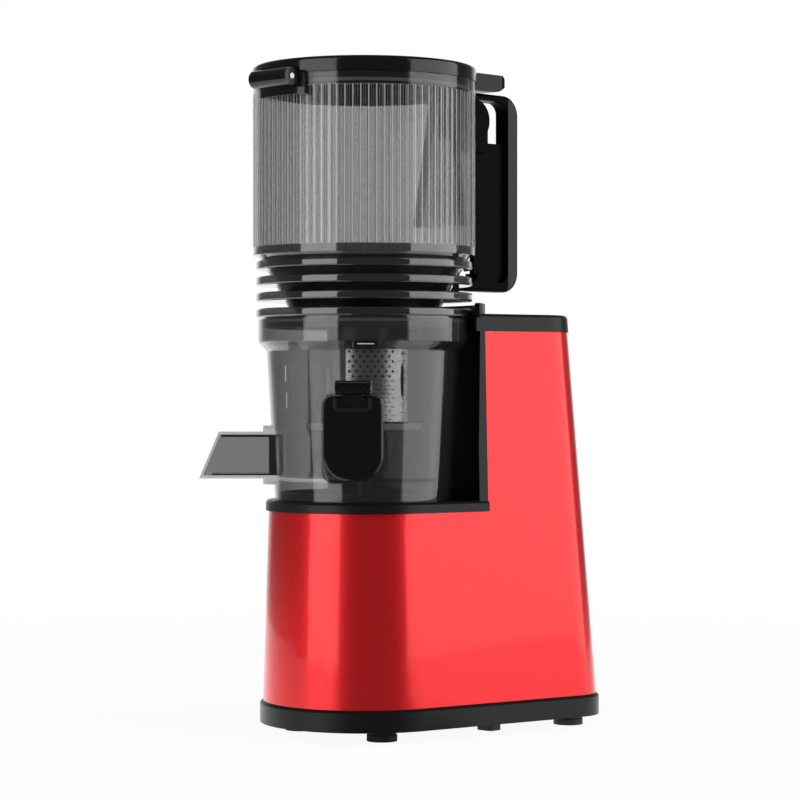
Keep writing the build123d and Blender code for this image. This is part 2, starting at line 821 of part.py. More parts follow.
with BuildPart() as gearbox_cover:
    with BuildSketch(drum.offset(case_rim)):
        with Locations(*ear_places):
            Circle(ear_radius)
    extrude(amount=cover_thickness)
    case_block(case_rim, case_rim + cover_thickness)
    disc(boss_radius, case_rim - bush_length, case_rim)
    disc(axle_boss, wheel_high + 2 * slip, case_rim, (0, idler_y))
    disc(bush_radius + running, case_rim - bush_length, case_rim, mode=Mode.SUBTRACT)
    disc(drive_radius + slip, case_rim, case_rim + cover_thickness, mode=Mode.SUBTRACT)
    disc(idler_axle_radius + running, wheel_high, case_rim + cover_thickness / 2, (0, idler_y),
         mode=Mode.SUBTRACT)
    disc(2 * motor_shaft_radius, case_rim, case_rim + cover_thickness, (0, motor_y), mode=Mode.SUBTRACT)
    with BuildSketch(drum.offset(case_rim)):
        with Locations(*ear_places):
            Circle(ear_screw + fit)
        with Locations((0, motor_y)):
            with PolarLocations(motor_screw_circle, motor_screw_count, 180 / motor_screw_count):
                Circle(ear_screw + fit)
    extrude(amount=cover_thickness, mode=Mode.SUBTRACT)
save(gearbox_cover, "gearbox_cover")

with BuildPart() as gearbox_screws:
    for place in ear_places:
        disc(ear_screw, case_rim - 2 * ear_radius, case_rim + cover_thickness, place)
        disc(2 * ear_screw, case_rim + cover_thickness, case_rim + cover_thickness + ear_screw, place)
save(gearbox_screws, "gearbox_screws")


def involute(angle):
    """Involute function of a pressure angle in radians."""
    return math.tan(angle) - angle


def gear(teeth, module, low, face, place, tooth_at):
    """A spur gear whose straight-sided teeth follow the involute, with one tooth at an angle."""
    pitch = module * teeth / 2
    pressed = math.radians(pressure_angle)
    base = pitch * math.cos(pressed)
    half = (math.pi * module / 2 - tooth_backlash) / (2 * pitch)
    stations = []
    for radius in (pitch - dedendum * module, pitch, pitch + module):
        pressure = math.acos(base / max(radius, base))
        stations.append((radius, half + involute(pressed) - involute(pressure)))
    points = []
    for tooth in range(teeth):
        middle = math.radians(tooth_at) + 2 * math.pi * tooth / teeth
        flank = [(radius, middle - angle) for radius, angle in stations]
        flank += [(radius, middle + angle) for radius, angle in reversed(stations)]
        points += [(r * math.cos(a) + place[0], r * math.sin(a) + place[1]) for r, a in flank]
    with BuildSketch(drum.offset(low)) as section:
        with BuildLine() as outline:
            Polyline(*points, close=True)
        make_face(outline.edges())
    extrude(section.sketch, amount=face)


with BuildPart() as output_gear:
    gear(output_teeth, second_module, output_gear_low, output_face, (0, 0), 90)
    disc(boss_radius, output_gear_low, case_rim - bush_length - 2 * slip)
    disc(drive_radius + fit, output_gear_low, case_rim, mode=Mode.SUBTRACT)
    with BuildSketch(drum.offset(output_gear_low)):
        with PolarLocations((boss_radius + second_module * output_teeth / 2) / 2, web_holes):
            Circle(boss_radius / 2)
    extrude(amount=output_face, mode=Mode.SUBTRACT)
save(output_gear, "output_gear")

with BuildPart() as drive_shaft:
    disc(drive_radius, boss_top - bush_length, hex_low)
    with BuildSketch(drum.offset(hex_low)):
        RegularPolygon(drive_hex / 2, 6, major_radius=False)
    extrude(amount=drive_top - hex_low)
    chamfer(drive_shaft.edges().group_by(Axis.Z)[-1], drive_hex / 12)
save(drive_shaft, "drive_shaft")

with BuildPart() as shaft_bushes:
    ring(bush_radius, drive_radius + running, boss_top - bush_length, boss_top)
    ring(bush_radius, drive_radius + running, case_rim - bush_length, case_rim)
save(shaft_bushes, "shaft_bushes")

with BuildPart() as idler_gear:
    gear(pinion_teeth, second_module, output_gear_low, wheel_low - output_gear_low, (0, idler_y),
         270 + 180 / pinion_teeth)
    gear(wheel_teeth, first_module, wheel_low, wheel_face, (0, idler_y), 90)
    disc(idler_axle_radius + running, output_gear_low, wheel_high, (0, idler_y), mode=Mode.SUBTRACT)
save(idler_gear, "idler_gear")

with BuildPart() as idler_axle:
    disc(idler_axle_radius, boss_top - bush_length, case_rim + cover_thickness / 2, (0, idler_y))
save(idler_axle, "idler_axle")

# ---------------------------------------------------------------- motor
motor_low = case_rim + cover_thickness
motor_floor = 2.0
motor_bearing_radius = 8.0
motor_bearing_height = 5.0
fan_low = motor_top + end_bell_height + fan_gap
shaft_top = fan_low + fan_height
motor_centre = (0, motor_y)

with BuildPart() as motor_pinion:
    gear(motor_teeth, first_module, wheel_low, wheel_face, motor_centre, 270 + 180 / motor_teeth)
    disc(motor_shaft_radius + fit, wheel_low, wheel_high, motor_centre, mode=Mode.SUBTRACT)
save(motor_pinion, "motor_pinion")

with BuildPart() as motor_rotor:
    disc(motor_shaft_radius, wheel_low - shaft_lead, shaft_top, motor_centre)
    disc(stator_bore - air_gap, stator_low, stator_high, motor_centre)
save(motor_rotor, "motor_rotor")

with BuildPart() as motor_can:
    ring(motor_radius, motor_radius - motor_wall, motor_low, motor_top, motor_centre)
    ring(motor_radius, 2 * motor_shaft_radius, motor_low, motor_low + motor_floor, motor_centre)
    ring(motor_bearing_radius + motor_wall, motor_bearing_radius + running,
         motor_low + motor_floor, motor_low + motor_floor + motor_bearing_height, motor_centre)
    with BuildSketch(drum.offset(motor_low)):
        with Locations(motor_centre):
            with PolarLocations(motor_screw_circle, motor_screw_count, 180 / motor_screw_count):
                Circle(ear_screw + fit)
    extrude(amount=motor_floor, mode=Mode.SUBTRACT)
save(motor_can, "motor_can")

with BuildPart() as motor_stator:
    ring(motor_radius - motor_wall - fit, stator_bore, stator_low, stator_high, motor_centre)
save(motor_stator, "motor_stator")

with BuildPart() as motor_windings:
    for low in (stator_low - winding_height, stator_high):
        ring(motor_radius - 2 * motor_wall, stator_bore + motor_wall, low, low + winding_height,
             motor_centre)
    fillet(motor_windings.edges().filter_by(GeomType.CIRCLE), winding_height / 4)
save(motor_windings, "motor_windings")

with BuildPart() as motor_end_bell:
    disc(motor_radius, motor_top, motor_top + end_bell_height, motor_centre)
    disc(motor_bearing_radius + motor_wall, motor_top - motor_bearing_height, motor_top, motor_centre)
    disc(motor_bearing_radius + running, motor_top - motor_bearing_height, motor_top, motor_centre,
         mode=Mode.SUBTRACT)
    disc(motor_shaft_radius + slip, motor_top, motor_top + end_bell_height, motor_centre,
         mode=Mode.SUBTRACT)
save(motor_end_bell, "motor_end_bell")

with BuildPart() as motor_bearings:
    for low in (motor_low + motor_floor, motor_top - motor_bearing_height):
        ring(motor_bearing_radius, motor_shaft_radius + running, low, low + motor_bearing_height,
             motor_centre)
save(motor_bearings, "motor_bearings")

with BuildPart() as motor_fan:
    ring(2 * motor_shaft_radius, motor_shaft_radius + fit, fan_low, fan_low + fan_height - fan_gap,
         motor_centre)
    ring(fan_radius, 2 * motor_shaft_radius, fan_low, fan_low + fan_disc, motor_centre)
    with BuildSketch(drum.offset(fan_low + fan_disc)):
        with Locations(motor_centre):
            with PolarLocations((fan_radius + 2 * motor_shaft_radius) / 2, fan_blades):
                Rectangle(fan_radius - 2 * motor_shaft_radius - 2 * fan_blade, fan_blade)
    extrude(amount=fan_height - fan_gap - fan_disc)
save(motor_fan, "motor_fan")

with BuildPart() as motor_screws:
    with BuildSketch(drum.offset(case_rim)):
        with Locations(motor_centre):
            with PolarLocations(motor_screw_circle, motor_screw_count, 180 / motor_screw_count):
                Circle(ear_screw)
    extrude(amount=cover_thickness + motor_floor)
    with BuildSketch(drum.offset(motor_low + motor_floor)):
        with Locations(motor_centre):
            with PolarLocations(motor_screw_circle, motor_screw_count, 180 / motor_screw_count):
                Circle(2 * ear_screw)
    extrude(amount=ear_screw)
save(motor_screws, "motor_screws")

# ---------------------------------------------------------------- electronics in the column
board_plane = Plane(origin=(0, drum_y + board_y, 0), x_dir=(-1, 0, 0), z_dir=(0, 1, 0))
board_middle = (board_low + board_high) / 2
relay_size = (18.0, 14.0)
relay_height = 11.0

with BuildPart() as control_board:
    bar(board_plane, board_width, board_high - board_low, board_thickness, (0, board_middle))
    bar(board_plane.offset(board_thickness), *relay_size, relay_height, (-relay_size[0], board_middle))
    bar(board_plane.offset(board_thickness), *relay_size, relay_height,
        (0, board_middle + relay_size[0]))
    bar(board_plane.offset(board_thickness), *relay_size, relay_height / 2,
        (relay_size[0], board_middle - relay_size[1]))
    with BuildSketch(board_plane):
        with Locations(*standoff_places):
            Circle(board_screw_radius + fit)
    extrude(amount=board_thickness, mode=Mode.SUBTRACT)
save(control_board, "control_board")

with BuildPart() as board_screws:
    with BuildSketch(board_plane.offset(board_thickness - board_screw_length)):
        with Locations(*standoff_places):
            Circle(board_screw_radius)
    extrude(amount=board_screw_length)
    with BuildSketch(board_plane.offset(board_thickness)):
        with Locations(*standoff_places):
            Circle(2 * board_screw_radius)
    extrude(amount=board_screw_radius)
save(board_screws, "board_screws")

capacitor_place = (foot_half_width - side_taper - capacitor_inset, capacitor_y)

with BuildPart() as run_capacitor:
    disc(capacitor_radius, deck_top, deck_top + capacitor_height, capacitor_place)
    fillet(run_capacitor.edges().group_by(Axis.Z)[-1], capacitor_radius / 8)
save(run_capacitor, "run_capacitor")

sensor_y = cap_radius + lip_width + cap_wall + sensor_size[1]

with BuildPart() as interlock_sensor:
    bar(drum.offset(cap_top - cap_wall - sensor_height), *sensor_size, sensor_height, (0, sensor_y))
save(interlock_sensor, "interlock_sensor")

# ---------------------------------------------------------------- juicing drum
outlet_plane = radial_plane(outlet_angle)
outlet_section = radial_section(outlet_angle)
spout_section = radial_section(spout_angle)
neck_middle = (neck_low + neck_high) / 2
outlet_hole_middle = outlet_hole_low + outlet_hole / 2
bowl_slope = (bowl_shoulder_radius - bowl_foot_radius) / (bowl_shoulder - bowl_foot)


def bowl_radius(height):
    """Outer radius of the bowl's tapering wall."""
    return bowl_foot_radius + bowl_slope * (height - bowl_foot)


with BuildPart() as drum_bowl:
    turned(
        (0, bowl_foot),
        (bowl_foot_radius, bowl_foot),
        (bowl_shoulder_radius, bowl_shoulder),
        (bowl_collar_radius, bowl_collar),
        (bowl_collar_radius, bowl_top),
        (0, bowl_top),
    )
    # neck of the juice outlet, and the pulp spout with the flange at its root
    bar(outlet_plane, neck_width, neck_high - neck_low, neck_reach, (0, neck_middle), corner=cap_round / 2)
    plate(
        spout_section,
        ((hub_radius, spout_low), (spout_reach_low, spout_low),
         (spout_reach_high, spout_high), (hub_radius, spout_high)),
        spout_width / 2,
    )
    bar(radial_plane(spout_angle), spout_width + 2 * spout_flange, spout_high - spout_low + 2 * spout_flange,
        spout_flange_reach, (0, (spout_low + spout_high) / 2), corner=spout_flange)
    # cavity, the space under the floor, and the passages
    turned(
        (0, bowl_floor),
        (bowl_radius(bowl_floor) - bowl_wall, bowl_floor),
        (bowl_shoulder_radius - bowl_wall, bowl_shoulder + bowl_wall / 2),
        (bowl_collar_radius - bowl_wall, bowl_collar + bowl_wall / 2),
        (bowl_collar_radius - bowl_wall, bowl_top),
        (0, bowl_top),
        mode=Mode.SUBTRACT,
    )
    disc(bowl_foot_radius - bowl_wall, bowl_foot, bowl_floor - bowl_floor_wall, mode=Mode.SUBTRACT)
    ring(hub_radius, hub_bore, bowl_floor - bowl_floor_wall, hub_top)
    disc(hub_bore, bowl_floor - bowl_floor_wall, hub_top, mode=Mode.SUBTRACT)
    bar(outlet_plane.offset(neck_reach - neck_wall), neck_width - 2 * neck_wall,
        neck_high - neck_wall - bowl_floor, neck_wall - neck_reach + passage_root,
        (0, (neck_high - neck_wall + bowl_floor) / 2), corner=cap_round / 2 - neck_wall, mode=Mode.SUBTRACT)
    bar(outlet_plane, outlet_hole, outlet_hole, 2 * neck_reach, (0, outlet_hole_middle),
        corner=neck_wall, mode=Mode.SUBTRACT)
    plate(
        spout_section,
        ((passage_root, spout_low + spout_wall), (2 * spout_reach_low, spout_low + spout_wall),
         (2 * spout_reach_low, spout_high - spout_wall), (passage_root, spout_high - spout_wall)),
        spout_width / 2 - spout_wall,
        mode=Mode.SUBTRACT,
    )
save(drum_bowl, "drum_bowl")

with BuildPart() as shaft_seal:
    ring(hub_radius + seal_width, hub_radius + fit, bowl_floor, bowl_floor + seal_height)
save(shaft_seal, "shaft_seal")

with BuildPart() as strainer_frame:
    ring(strainer_radius, strainer_radius - strainer_wall, bowl_floor, strainer_top)
    ring(strainer_radius, strainer_radius - strainer_foot, bowl_floor, bowl_floor + strainer_wall)
    ring(bowl_radius(strainer_top) - bowl_wall, strainer_radius - strainer_wall,
         strainer_top, strainer_top + strainer_rim)
    with BuildSketch(drum.offset(window_low)):
        with PolarLocations(0, window_count, (window_from + window_to) / 2):
            with Locations((strainer_radius, 0)):
                Rectangle(
                    2 * strainer_wall + strainer_radius,
                    2 * strainer_radius * math.sin(math.radians(window_to - window_from) / 2),
                )
    extrude(amount=window_high - window_low, mode=Mode.SUBTRACT)
    # port at the foot where the pulp leaves for the spout
    plate(
        spout_section,
        ((strainer_radius - strainer_foot - fit, bowl_floor + strainer_wall),
         (strainer_radius + strainer_wall, bowl_floor + strainer_wall),
         (strainer_radius + strainer_wall, spout_high - spout_wall),
         (strainer_radius - strainer_foot - fit, spout_high - spout_wall)),
        spout_width / 2 - spout_wall,
        mode=Mode.SUBTRACT,
    )
save(strainer_frame, "strainer_frame")

with BuildPart() as strainer_mesh:
    ring(strainer_radius - strainer_wall / 2 + mesh_thickness / 2,
         strainer_radius - strainer_wall / 2 - mesh_thickness / 2,
         window_low + fit, window_high - fit)
    with BuildSketch(drum.offset(window_low)) as openings:
        with PolarLocations(0, window_count, (window_from + window_to) / 2):
            with Locations((strainer_radius, 0)):
                Rectangle(
                    2 * strainer_wall + strainer_radius,
                    2 * strainer_radius * math.sin(math.radians(window_to - window_from) / 2) - 2 * fit,
                )
    extrude(openings.sketch, amount=window_high - window_low, mode=Mode.INTERSECT)
save(strainer_mesh, "strainer_mesh")

# ---------------------------------------------------------------- auger
flight_radius = strainer_radius - strainer_wall - auger_clearance
thread_top = strainer_top + strainer_rim + slip
throat_radius = funnel_low_radius - hopper_wall

with BuildSketch(drum.offset(auger_bottom)) as thread_section:
    Circle(auger_core_low)
    with PolarLocations(0, auger_flights):
        with Locations((flight_radius / 2, 0)):
            Rectangle(flight_radius, auger_flight_width)
    Circle(flight_radius, mode=Mode.INTERSECT)

with BuildSketch(drum.offset(thread_top)) as blade_section:
    with Locations((auger_blade_radius / 2, 0)):
        Rectangle(auger_blade_radius, auger_flight_width)
    Circle(auger_core_high)
    Circle(auger_blade_radius, mode=Mode.INTERSECT)

thread = Solid.extrude_linear_with_rotation(
    thread_section.sketch.faces()[0], (0, drum_y, auger_bottom),
    (0, 0, thread_top - auger_bottom), 360 * auger_turns,
)
blade = Solid.extrude_linear_with_rotation(
    blade_section.sketch.faces()[0], (0, drum_y, thread_top), (0, 0, auger_top - thread_top), blade_turn,
)

with BuildPart() as auger:
    add(blade)
    turned(
        (0, thread_top),
        (throat_radius - auger_clearance, thread_top),
        (auger_blade_radius, (thread_top + auger_top) / 2),
        (auger_core_high / 2, auger_top),
        (0, auger_top),
        mode=Mode.INTERSECT,
    )
    turned(
        (0, thread_top),
        (auger_core_high, thread_top),
        (auger_core_high / 3, auger_top),
        (0, auger_top),
    )
    add(thread)
    turned(
        (0, auger_bottom),
        (auger_core_low, auger_bottom),
        (auger_core_high, thread_top),
        (0, thread_top),
    )
    disc(hub_radius + slip, auger_bottom, hub_top + slip, mode=Mode.SUBTRACT)
    with BuildSketch(drum.offset(auger_bottom)):
        RegularPolygon(drive_hex / 2 + running, 6, major_radius=False)
    extrude(amount=drive_top + slip - auger_bottom, mode=Mode.SUBTRACT)
save(auger, "auger")

# ---------------------------------------------------------------- juice cap and its hinge
outlet_axis = Axis((0, drum_y, 0), outlet_plane.z_dir)
cap_hinge_height = neck_high + cap_hinge_rise
cap_pivot = (cap_hinge_reach, cap_hinge_height)
cap_back = neck_reach + slip + fit
bracket_back = bowl_radius(cap_hinge_height + cap_knuckle) + slip

with BuildPart() as outlet_bracket:
    plate(
        outlet_section,
        ((bracket_back, neck_high), (neck_reach, neck_high),
         (cap_hinge_reach, cap_hinge_height - cap_knuckle),
         (cap_hinge_reach, cap_hinge_height + cap_knuckle),
         (bracket_back, cap_hinge_height + cap_knuckle)),
        bracket_width / 2,
    )
    with BuildSketch(outlet_section):
        with Locations(cap_pivot):
            Circle(cap_knuckle)
    extrude(amount=bracket_width / 2, both=True)
    with BuildSketch(outlet_section):
        with Locations(cap_pivot):
            Circle(cap_knuckle + 2 * slip)
    extrude(amount=knuckle_width / 2 + slip, both=True, mode=Mode.SUBTRACT)
    with BuildSketch(outlet_section):
        with Locations(cap_pivot):
            Circle(cap_pin_radius + fit)
    extrude(amount=bracket_width / 2, both=True, mode=Mode.SUBTRACT)
save(outlet_bracket, "outlet_bracket")

with BuildPart() as juice_cap:
    with BuildSketch(outlet_plane.offset(cap_back)) as flap:
        with Locations((0, (cap_low + cap_high) / 2)):
            Rectangle(cap_width, cap_high - cap_low)
        fillet(flap.vertices().group_by(Axis.Y)[0], cap_round)
        fillet(flap.vertices().group_by(Axis.Y)[-1], cap_shoulder)
    extrude(amount=juice_cap_thickness)
    chamfer(juice_cap.faces().sort_by(outlet_axis)[-1].edges(), juice_cap_thickness / 4)
    # knuckle between the bracket's ears, and the tongue that joins it to the flap
    plate(
        outlet_section,
        ((cap_back, cap_high - cap_knuckle), (cap_back + juice_cap_thickness, cap_high - cap_knuckle),
         (cap_hinge_reach + cap_knuckle / 2, cap_hinge_height),
         (cap_hinge_reach - cap_knuckle / 2, cap_hinge_height)),
        knuckle_width / 2,
    )
    with BuildSketch(outlet_section):
        with Locations(cap_pivot):
            Circle(cap_knuckle)
    extrude(amount=knuckle_width / 2, both=True)
    with BuildSketch(outlet_section):
        with Locations(cap_pivot):
            Circle(cap_pin_radius + running)
    extrude(amount=knuckle_width / 2, both=True, mode=Mode.SUBTRACT)
    # groove for the seal round the outlet hole
    with BuildSketch(outlet_plane.offset(cap_back)) as groove:
        with Locations((0, outlet_hole_middle)):
            RectangleRounded(outlet_hole + 2 * cap_seal_width, outlet_hole + 2 * cap_seal_width,
                             neck_wall + cap_seal_width)
            RectangleRounded(outlet_hole, outlet_hole, neck_wall, mode=Mode.SUBTRACT)
    extrude(groove.sketch, amount=cap_seal_depth, mode=Mode.SUBTRACT)
save(juice_cap, "juice_cap")

with BuildPart() as juice_cap_seal:
    with BuildSketch(outlet_plane.offset(neck_reach + slip)):
        with Locations((0, outlet_hole_middle)):
            RectangleRounded(outlet_hole + 2 * cap_seal_width - fit, outlet_hole + 2 * cap_seal_width - fit,
                             neck_wall + cap_seal_width)
            RectangleRounded(outlet_hole + fit, outlet_hole + fit, neck_wall, mode=Mode.SUBTRACT)
    extrude(amount=cap_seal_depth + fit)
save(juice_cap_seal, "juice_cap_seal")

with BuildPart() as juice_cap_pin:
    with BuildSketch(outlet_section):
        with Locations(cap_pivot):
            Circle(cap_pin_radius)
    extrude(amount=bracket_width / 2, both=True)
save(juice_cap_pin, "juice_cap_pin")

# ---------------------------------------------------------------- hopper
funnel_slope = (funnel_high_radius - funnel_low_radius) / (funnel_high - funnel_low)
spigot_radius = bowl_collar_radius - bowl_wall - spigot_clearance


def funnel_radius(height):
    """Outer radius of the funnel's cone."""
    return funnel_low_radius + funnel_slope * (height - funnel_low)


with BuildPart() as hopper:
    # cup, flange and funnel, with the throat and the spigot that enters the drum
    turned(
        (funnel_low_radius - hopper_wall, funnel_low - spigot_depth),
        (funnel_low_radius, funnel_low - spigot_depth),
        (funnel_low_radius, funnel_low),
        (spigot_radius - hopper_wall, funnel_low),
        (spigot_radius - hopper_wall, funnel_low - spigot_depth),
        (spigot_radius, funnel_low - spigot_depth),
        (spigot_radius, funnel_low),
        (fin_radius, funnel_low),
        (fin_radius, funnel_low + fin_thickness),
        (funnel_radius(funnel_low + fin_thickness), funnel_low + fin_thickness),
        (funnel_high_radius, funnel_high),
        (hopper_radius, funnel_high),
        (hopper_radius, hopper_top),
        (hopper_radius - hopper_wall, hopper_top),
        (hopper_radius - hopper_wall, hopper_low),
        (funnel_low_radius - hopper_wall, funnel_low),
    )
    for fin in range(1, fin_count):
        low = funnel_low + fin * fin_pitch
        ring(fin_radius, funnel_radius(low), low, low + fin_thickness)
    fillet(
        hopper.edges().filter_by(GeomType.CIRCLE).filter_by(
            lambda edge: abs(edge.radius - fin_radius) < running), fin_thickness / 4)
    # flutes round the cup
    with BuildSketch(drum.offset(flute_low)) as flutes:
        with PolarLocations(hopper_radius + flute_tool - flute_depth, flute_count):
            Circle(flute_tool)
    extrude(flutes.sketch, amount=flute_high - flute_low, mode=Mode.SUBTRACT)
save(hopper, "hopper")

with BuildPart() as bowl_gasket:
    ring(bowl_collar_radius - bowl_wall - fit, spigot_radius + fit / 2,
         funnel_low - spigot_depth / 2, funnel_low - spigot_depth / 4)
save(bowl_gasket, "bowl_gasket")

# ---------------------------------------------------------------- handle
plate_radius = hopper_radius + fit
arm_front = plate_radius + plate_thickness
button_bore = button_radius + slip
tongue_low = funnel_low + tongue_fin * fin_pitch + fin_thickness + slip
tongue_high = funnel_low + (tongue_fin + 1) * fin_pitch - slip
tongue_front = funnel_radius(tongue_high) + slip
tongue_back = arm_front + 2 * pad_thickness
heel_front = fin_radius + fit
opening_high = handle_top - top_arm
opening_low = handle_low + bottom_arm
opening_height = opening_high - opening_low
opening_middle = (opening_high + opening_low) / 2
rim_front = handle_reach - rim_thickness

# the screws' heads lie in the plate, against the cup
handle_screw_places = [(0, hopper_top - drop) for drop in handle_screw_drops]
handle_screw_plane = Plane(
    origin=(0, drum_y + plate_radius + fit, 0), x_dir=(-1, 0, 0), z_dir=(0, 1, 0))

with BuildPart() as handle_plate:
    ring(arm_front, plate_radius, plate_low, plate_high)
    with BuildSketch(drum_section) as plate_outline:
        with BuildLine():
            Polyline(
                (plate_low_half_width, plate_low), (plate_high_half_width, plate_high),
                (-plate_high_half_width, plate_high), (-plate_low_half_width, plate_low), close=True,
            )
        make_face()
    extrude(plate_outline.sketch, amount=-2 * arm_front, mode=Mode.INTERSECT)
    with BuildSketch(handle_screw_plane):
        with Locations(*handle_screw_places):
            Circle(handle_screw_radius + fit)
    extrude(amount=2 * plate_thickness, mode=Mode.SUBTRACT)
    with BuildSketch(handle_screw_plane.offset(handle_screw_radius)):
        with Locations(*handle_screw_places):
            Circle(2 * handle_screw_radius + fit)
    extrude(amount=-2 * handle_screw_radius, mode=Mode.SUBTRACT)
save(handle_plate, "handle_plate")

with BuildPart() as hopper_handle:
    with BuildSketch(side_section) as grip:
        with Locations(((arm_front + handle_reach) / 2, (handle_low + handle_top) / 2)):
            Rectangle(handle_reach - arm_front, handle_top - handle_low)
        fillet(grip.vertices().group_by(Axis.X)[-1], handle_round)
    extrude(grip.sketch, amount=handle_width / 2, both=True)
    fillet(
        hopper_handle.faces().filter_by(Axis.X).edges().filter_by(
            lambda edge: edge.center().Y > drum_y + arm_front + rim_edge), rim_edge)
    # finger opening between the arms, in front of it the pad that is screwed to the plate
    with BuildSketch(side_section) as opening:
        with Locations(((arm_front + pad_thickness + web_inner) / 2, opening_middle)):
            RectangleRounded(web_inner - arm_front - pad_thickness, opening_height, opening_round)
        with Locations((arm_front, (opening_low + pad_low) / 2)):
            Rectangle(2 * (pad_thickness + opening_round), pad_low - opening_low)
    extrude(opening.sketch, amount=handle_width, both=True, mode=Mode.SUBTRACT)
    # recess on both sides of the grip, which leaves a thin web behind the outer rim
    for side in (1, -1):
        with BuildSketch(side_section.offset(side * web_thickness / 2)) as recess:
            with Locations(((web_inner + rim_front) / 2, opening_middle)):
                Rectangle(rim_front - web_inner, opening_height)
                fillet(recess.vertices().group_by(Axis.X)[-1], inner_round)
        extrude(recess.sketch, amount=side * handle_width, mode=Mode.SUBTRACT)
    # slot through the top of the web
    with BuildSketch(side_section) as slot:
        with Locations(((button_y + rim_front) / 2, (slot_low + opening_high) / 2)):
            Rectangle(rim_front - button_y, opening_high - slot_low)
        fillet(slot.vertices().group_by(Axis.X)[-1].sort_by(Axis.Y)[-1], inner_round)
        fillet(slot.vertices().group_by(Axis.X)[-1].sort_by(Axis.Y)[0], slot_round)
    extrude(slot.sketch, amount=handle_width, both=True, mode=Mode.SUBTRACT)
    # guide tube of the latch button, on a stalk from the web and a bridge from the pad
    with BuildSketch(side_section) as guide:
        with Locations((button_y, button_z)):
            Circle(button_bore + button_guide)
        with Locations((button_y, (stalk_low + button_z) / 2)):
            Rectangle(2 * stalk_half_width, button_z - stalk_low)
        with Locations(((arm_front + button_y) / 2, button_z)):
            Rectangle(button_y - arm_front, 2 * bridge_half_height)
    extrude(guide.sketch, amount=handle_width / 2, both=True)
    with BuildSketch(side_section.offset(button_guide - handle_width / 2)) as bore:
        with Locations((button_y, button_z)):
            Circle(button_bore)
    extrude(bore.sketch, amount=handle_width, mode=Mode.SUBTRACT)
    # tongue that seats between two of the hopper's fins, on a heel under the bottom arm
    with BuildSketch(side_section) as tongue:
        with Locations(((tongue_front + tongue_back) / 2, (tongue_low + tongue_high) / 2)):
            Rectangle(tongue_back - tongue_front, tongue_high - tongue_low)
        with Locations(((heel_front + tongue_back) / 2, (tongue_low + opening_low) / 2)):
            Rectangle(tongue_back - heel_front, opening_low - tongue_low)
    extrude(tongue.sketch, amount=handle_width / 2, both=True)
    # holes for the handle's screws, and the pocket for the magnet
    with BuildSketch(handle_screw_plane) as holes:
        with Locations(*handle_screw_places):
            Circle(handle_screw_radius + fit)
    extrude(holes.sketch, amount=handle_screw_length + fit, mode=Mode.SUBTRACT)
    disc(magnet_radius + fit, handle_low, handle_low + magnet_height, (0, magnet_y), mode=Mode.SUBTRACT)
save(hopper_handle, "hopper_handle")

with BuildPart() as handle_screws:
    with BuildSketch(handle_screw_plane):
        with Locations(*handle_screw_places):
            Circle(handle_screw_radius)
    extrude(amount=handle_screw_length)
    with BuildSketch(handle_screw_plane):
        with Locations(*handle_screw_places):
            Circle(2 * handle_screw_radius)
    extrude(amount=handle_screw_radius)
save(handle_screws, "handle_screws")

with BuildPart() as interlock_magnet:
    disc(magnet_radius, handle_low, handle_low + magnet_height, (0, magnet_y))
save(interlock_magnet, "interlock_magnet")

# ---------------------------------------------------------------- latch button
button_floor = button_guide - handle_width / 2        # inner face of the guide's back wall
button_back = button_floor + button_travel + slip + spring_wire

with BuildPart() as latch_button:
    with BuildSketch(side_section.offset(button_back)):
        with Locations((button_y, button_z)):
            Circle(button_radius)
    extrude(amount=handle_width / 2 + button_proud - button_back)
    fillet(latch_button.edges().group_by(Axis.X)[-1], button_proud)
    with BuildSketch(side_section.offset(button_back)) as spring_seat:
        with Locations((button_y, button_z)):
            Circle(spring_radius + spring_wire + slip)
            Circle(spring_radius - spring_wire - slip, mode=Mode.SUBTRACT)
    extrude(spring_seat.sketch, amount=spring_seat_depth, mode=Mode.SUBTRACT)
save(latch_button, "latch_button")

spring_length = button_back + spring_seat_depth - button_floor

with BuildPart() as button_spring:
    for turn in range(spring_turns):
        middle = button_floor + spring_wire + turn * (spring_length - 2 * spring_wire) / (spring_turns - 1)
        with BuildSketch(Plane(origin=(middle, drum_y + button_y, button_z),
                               x_dir=(0, 1, 0), z_dir=(0, 0, 1)).rotated((90, 0, 0))):
            with Locations((spring_radius, 0)):
                Circle(spring_wire)
        revolve(axis=Axis((0, drum_y + button_y, button_z), (1, 0, 0)))
save(button_spring, "button_spring")

# ---------------------------------------------------------------- lid and its hinge
hinge_place = (hinge_y, hinge_z)
lid_low = hopper_top + slip
lid_top = hopper_top + lid_height
tab_top = lid_top + tab_rise
plug_radius = hopper_radius - hopper_wall - plug_clearance
bracket_plate = arm_front - fit
inner_half = lid_knuckle_half_width + slip

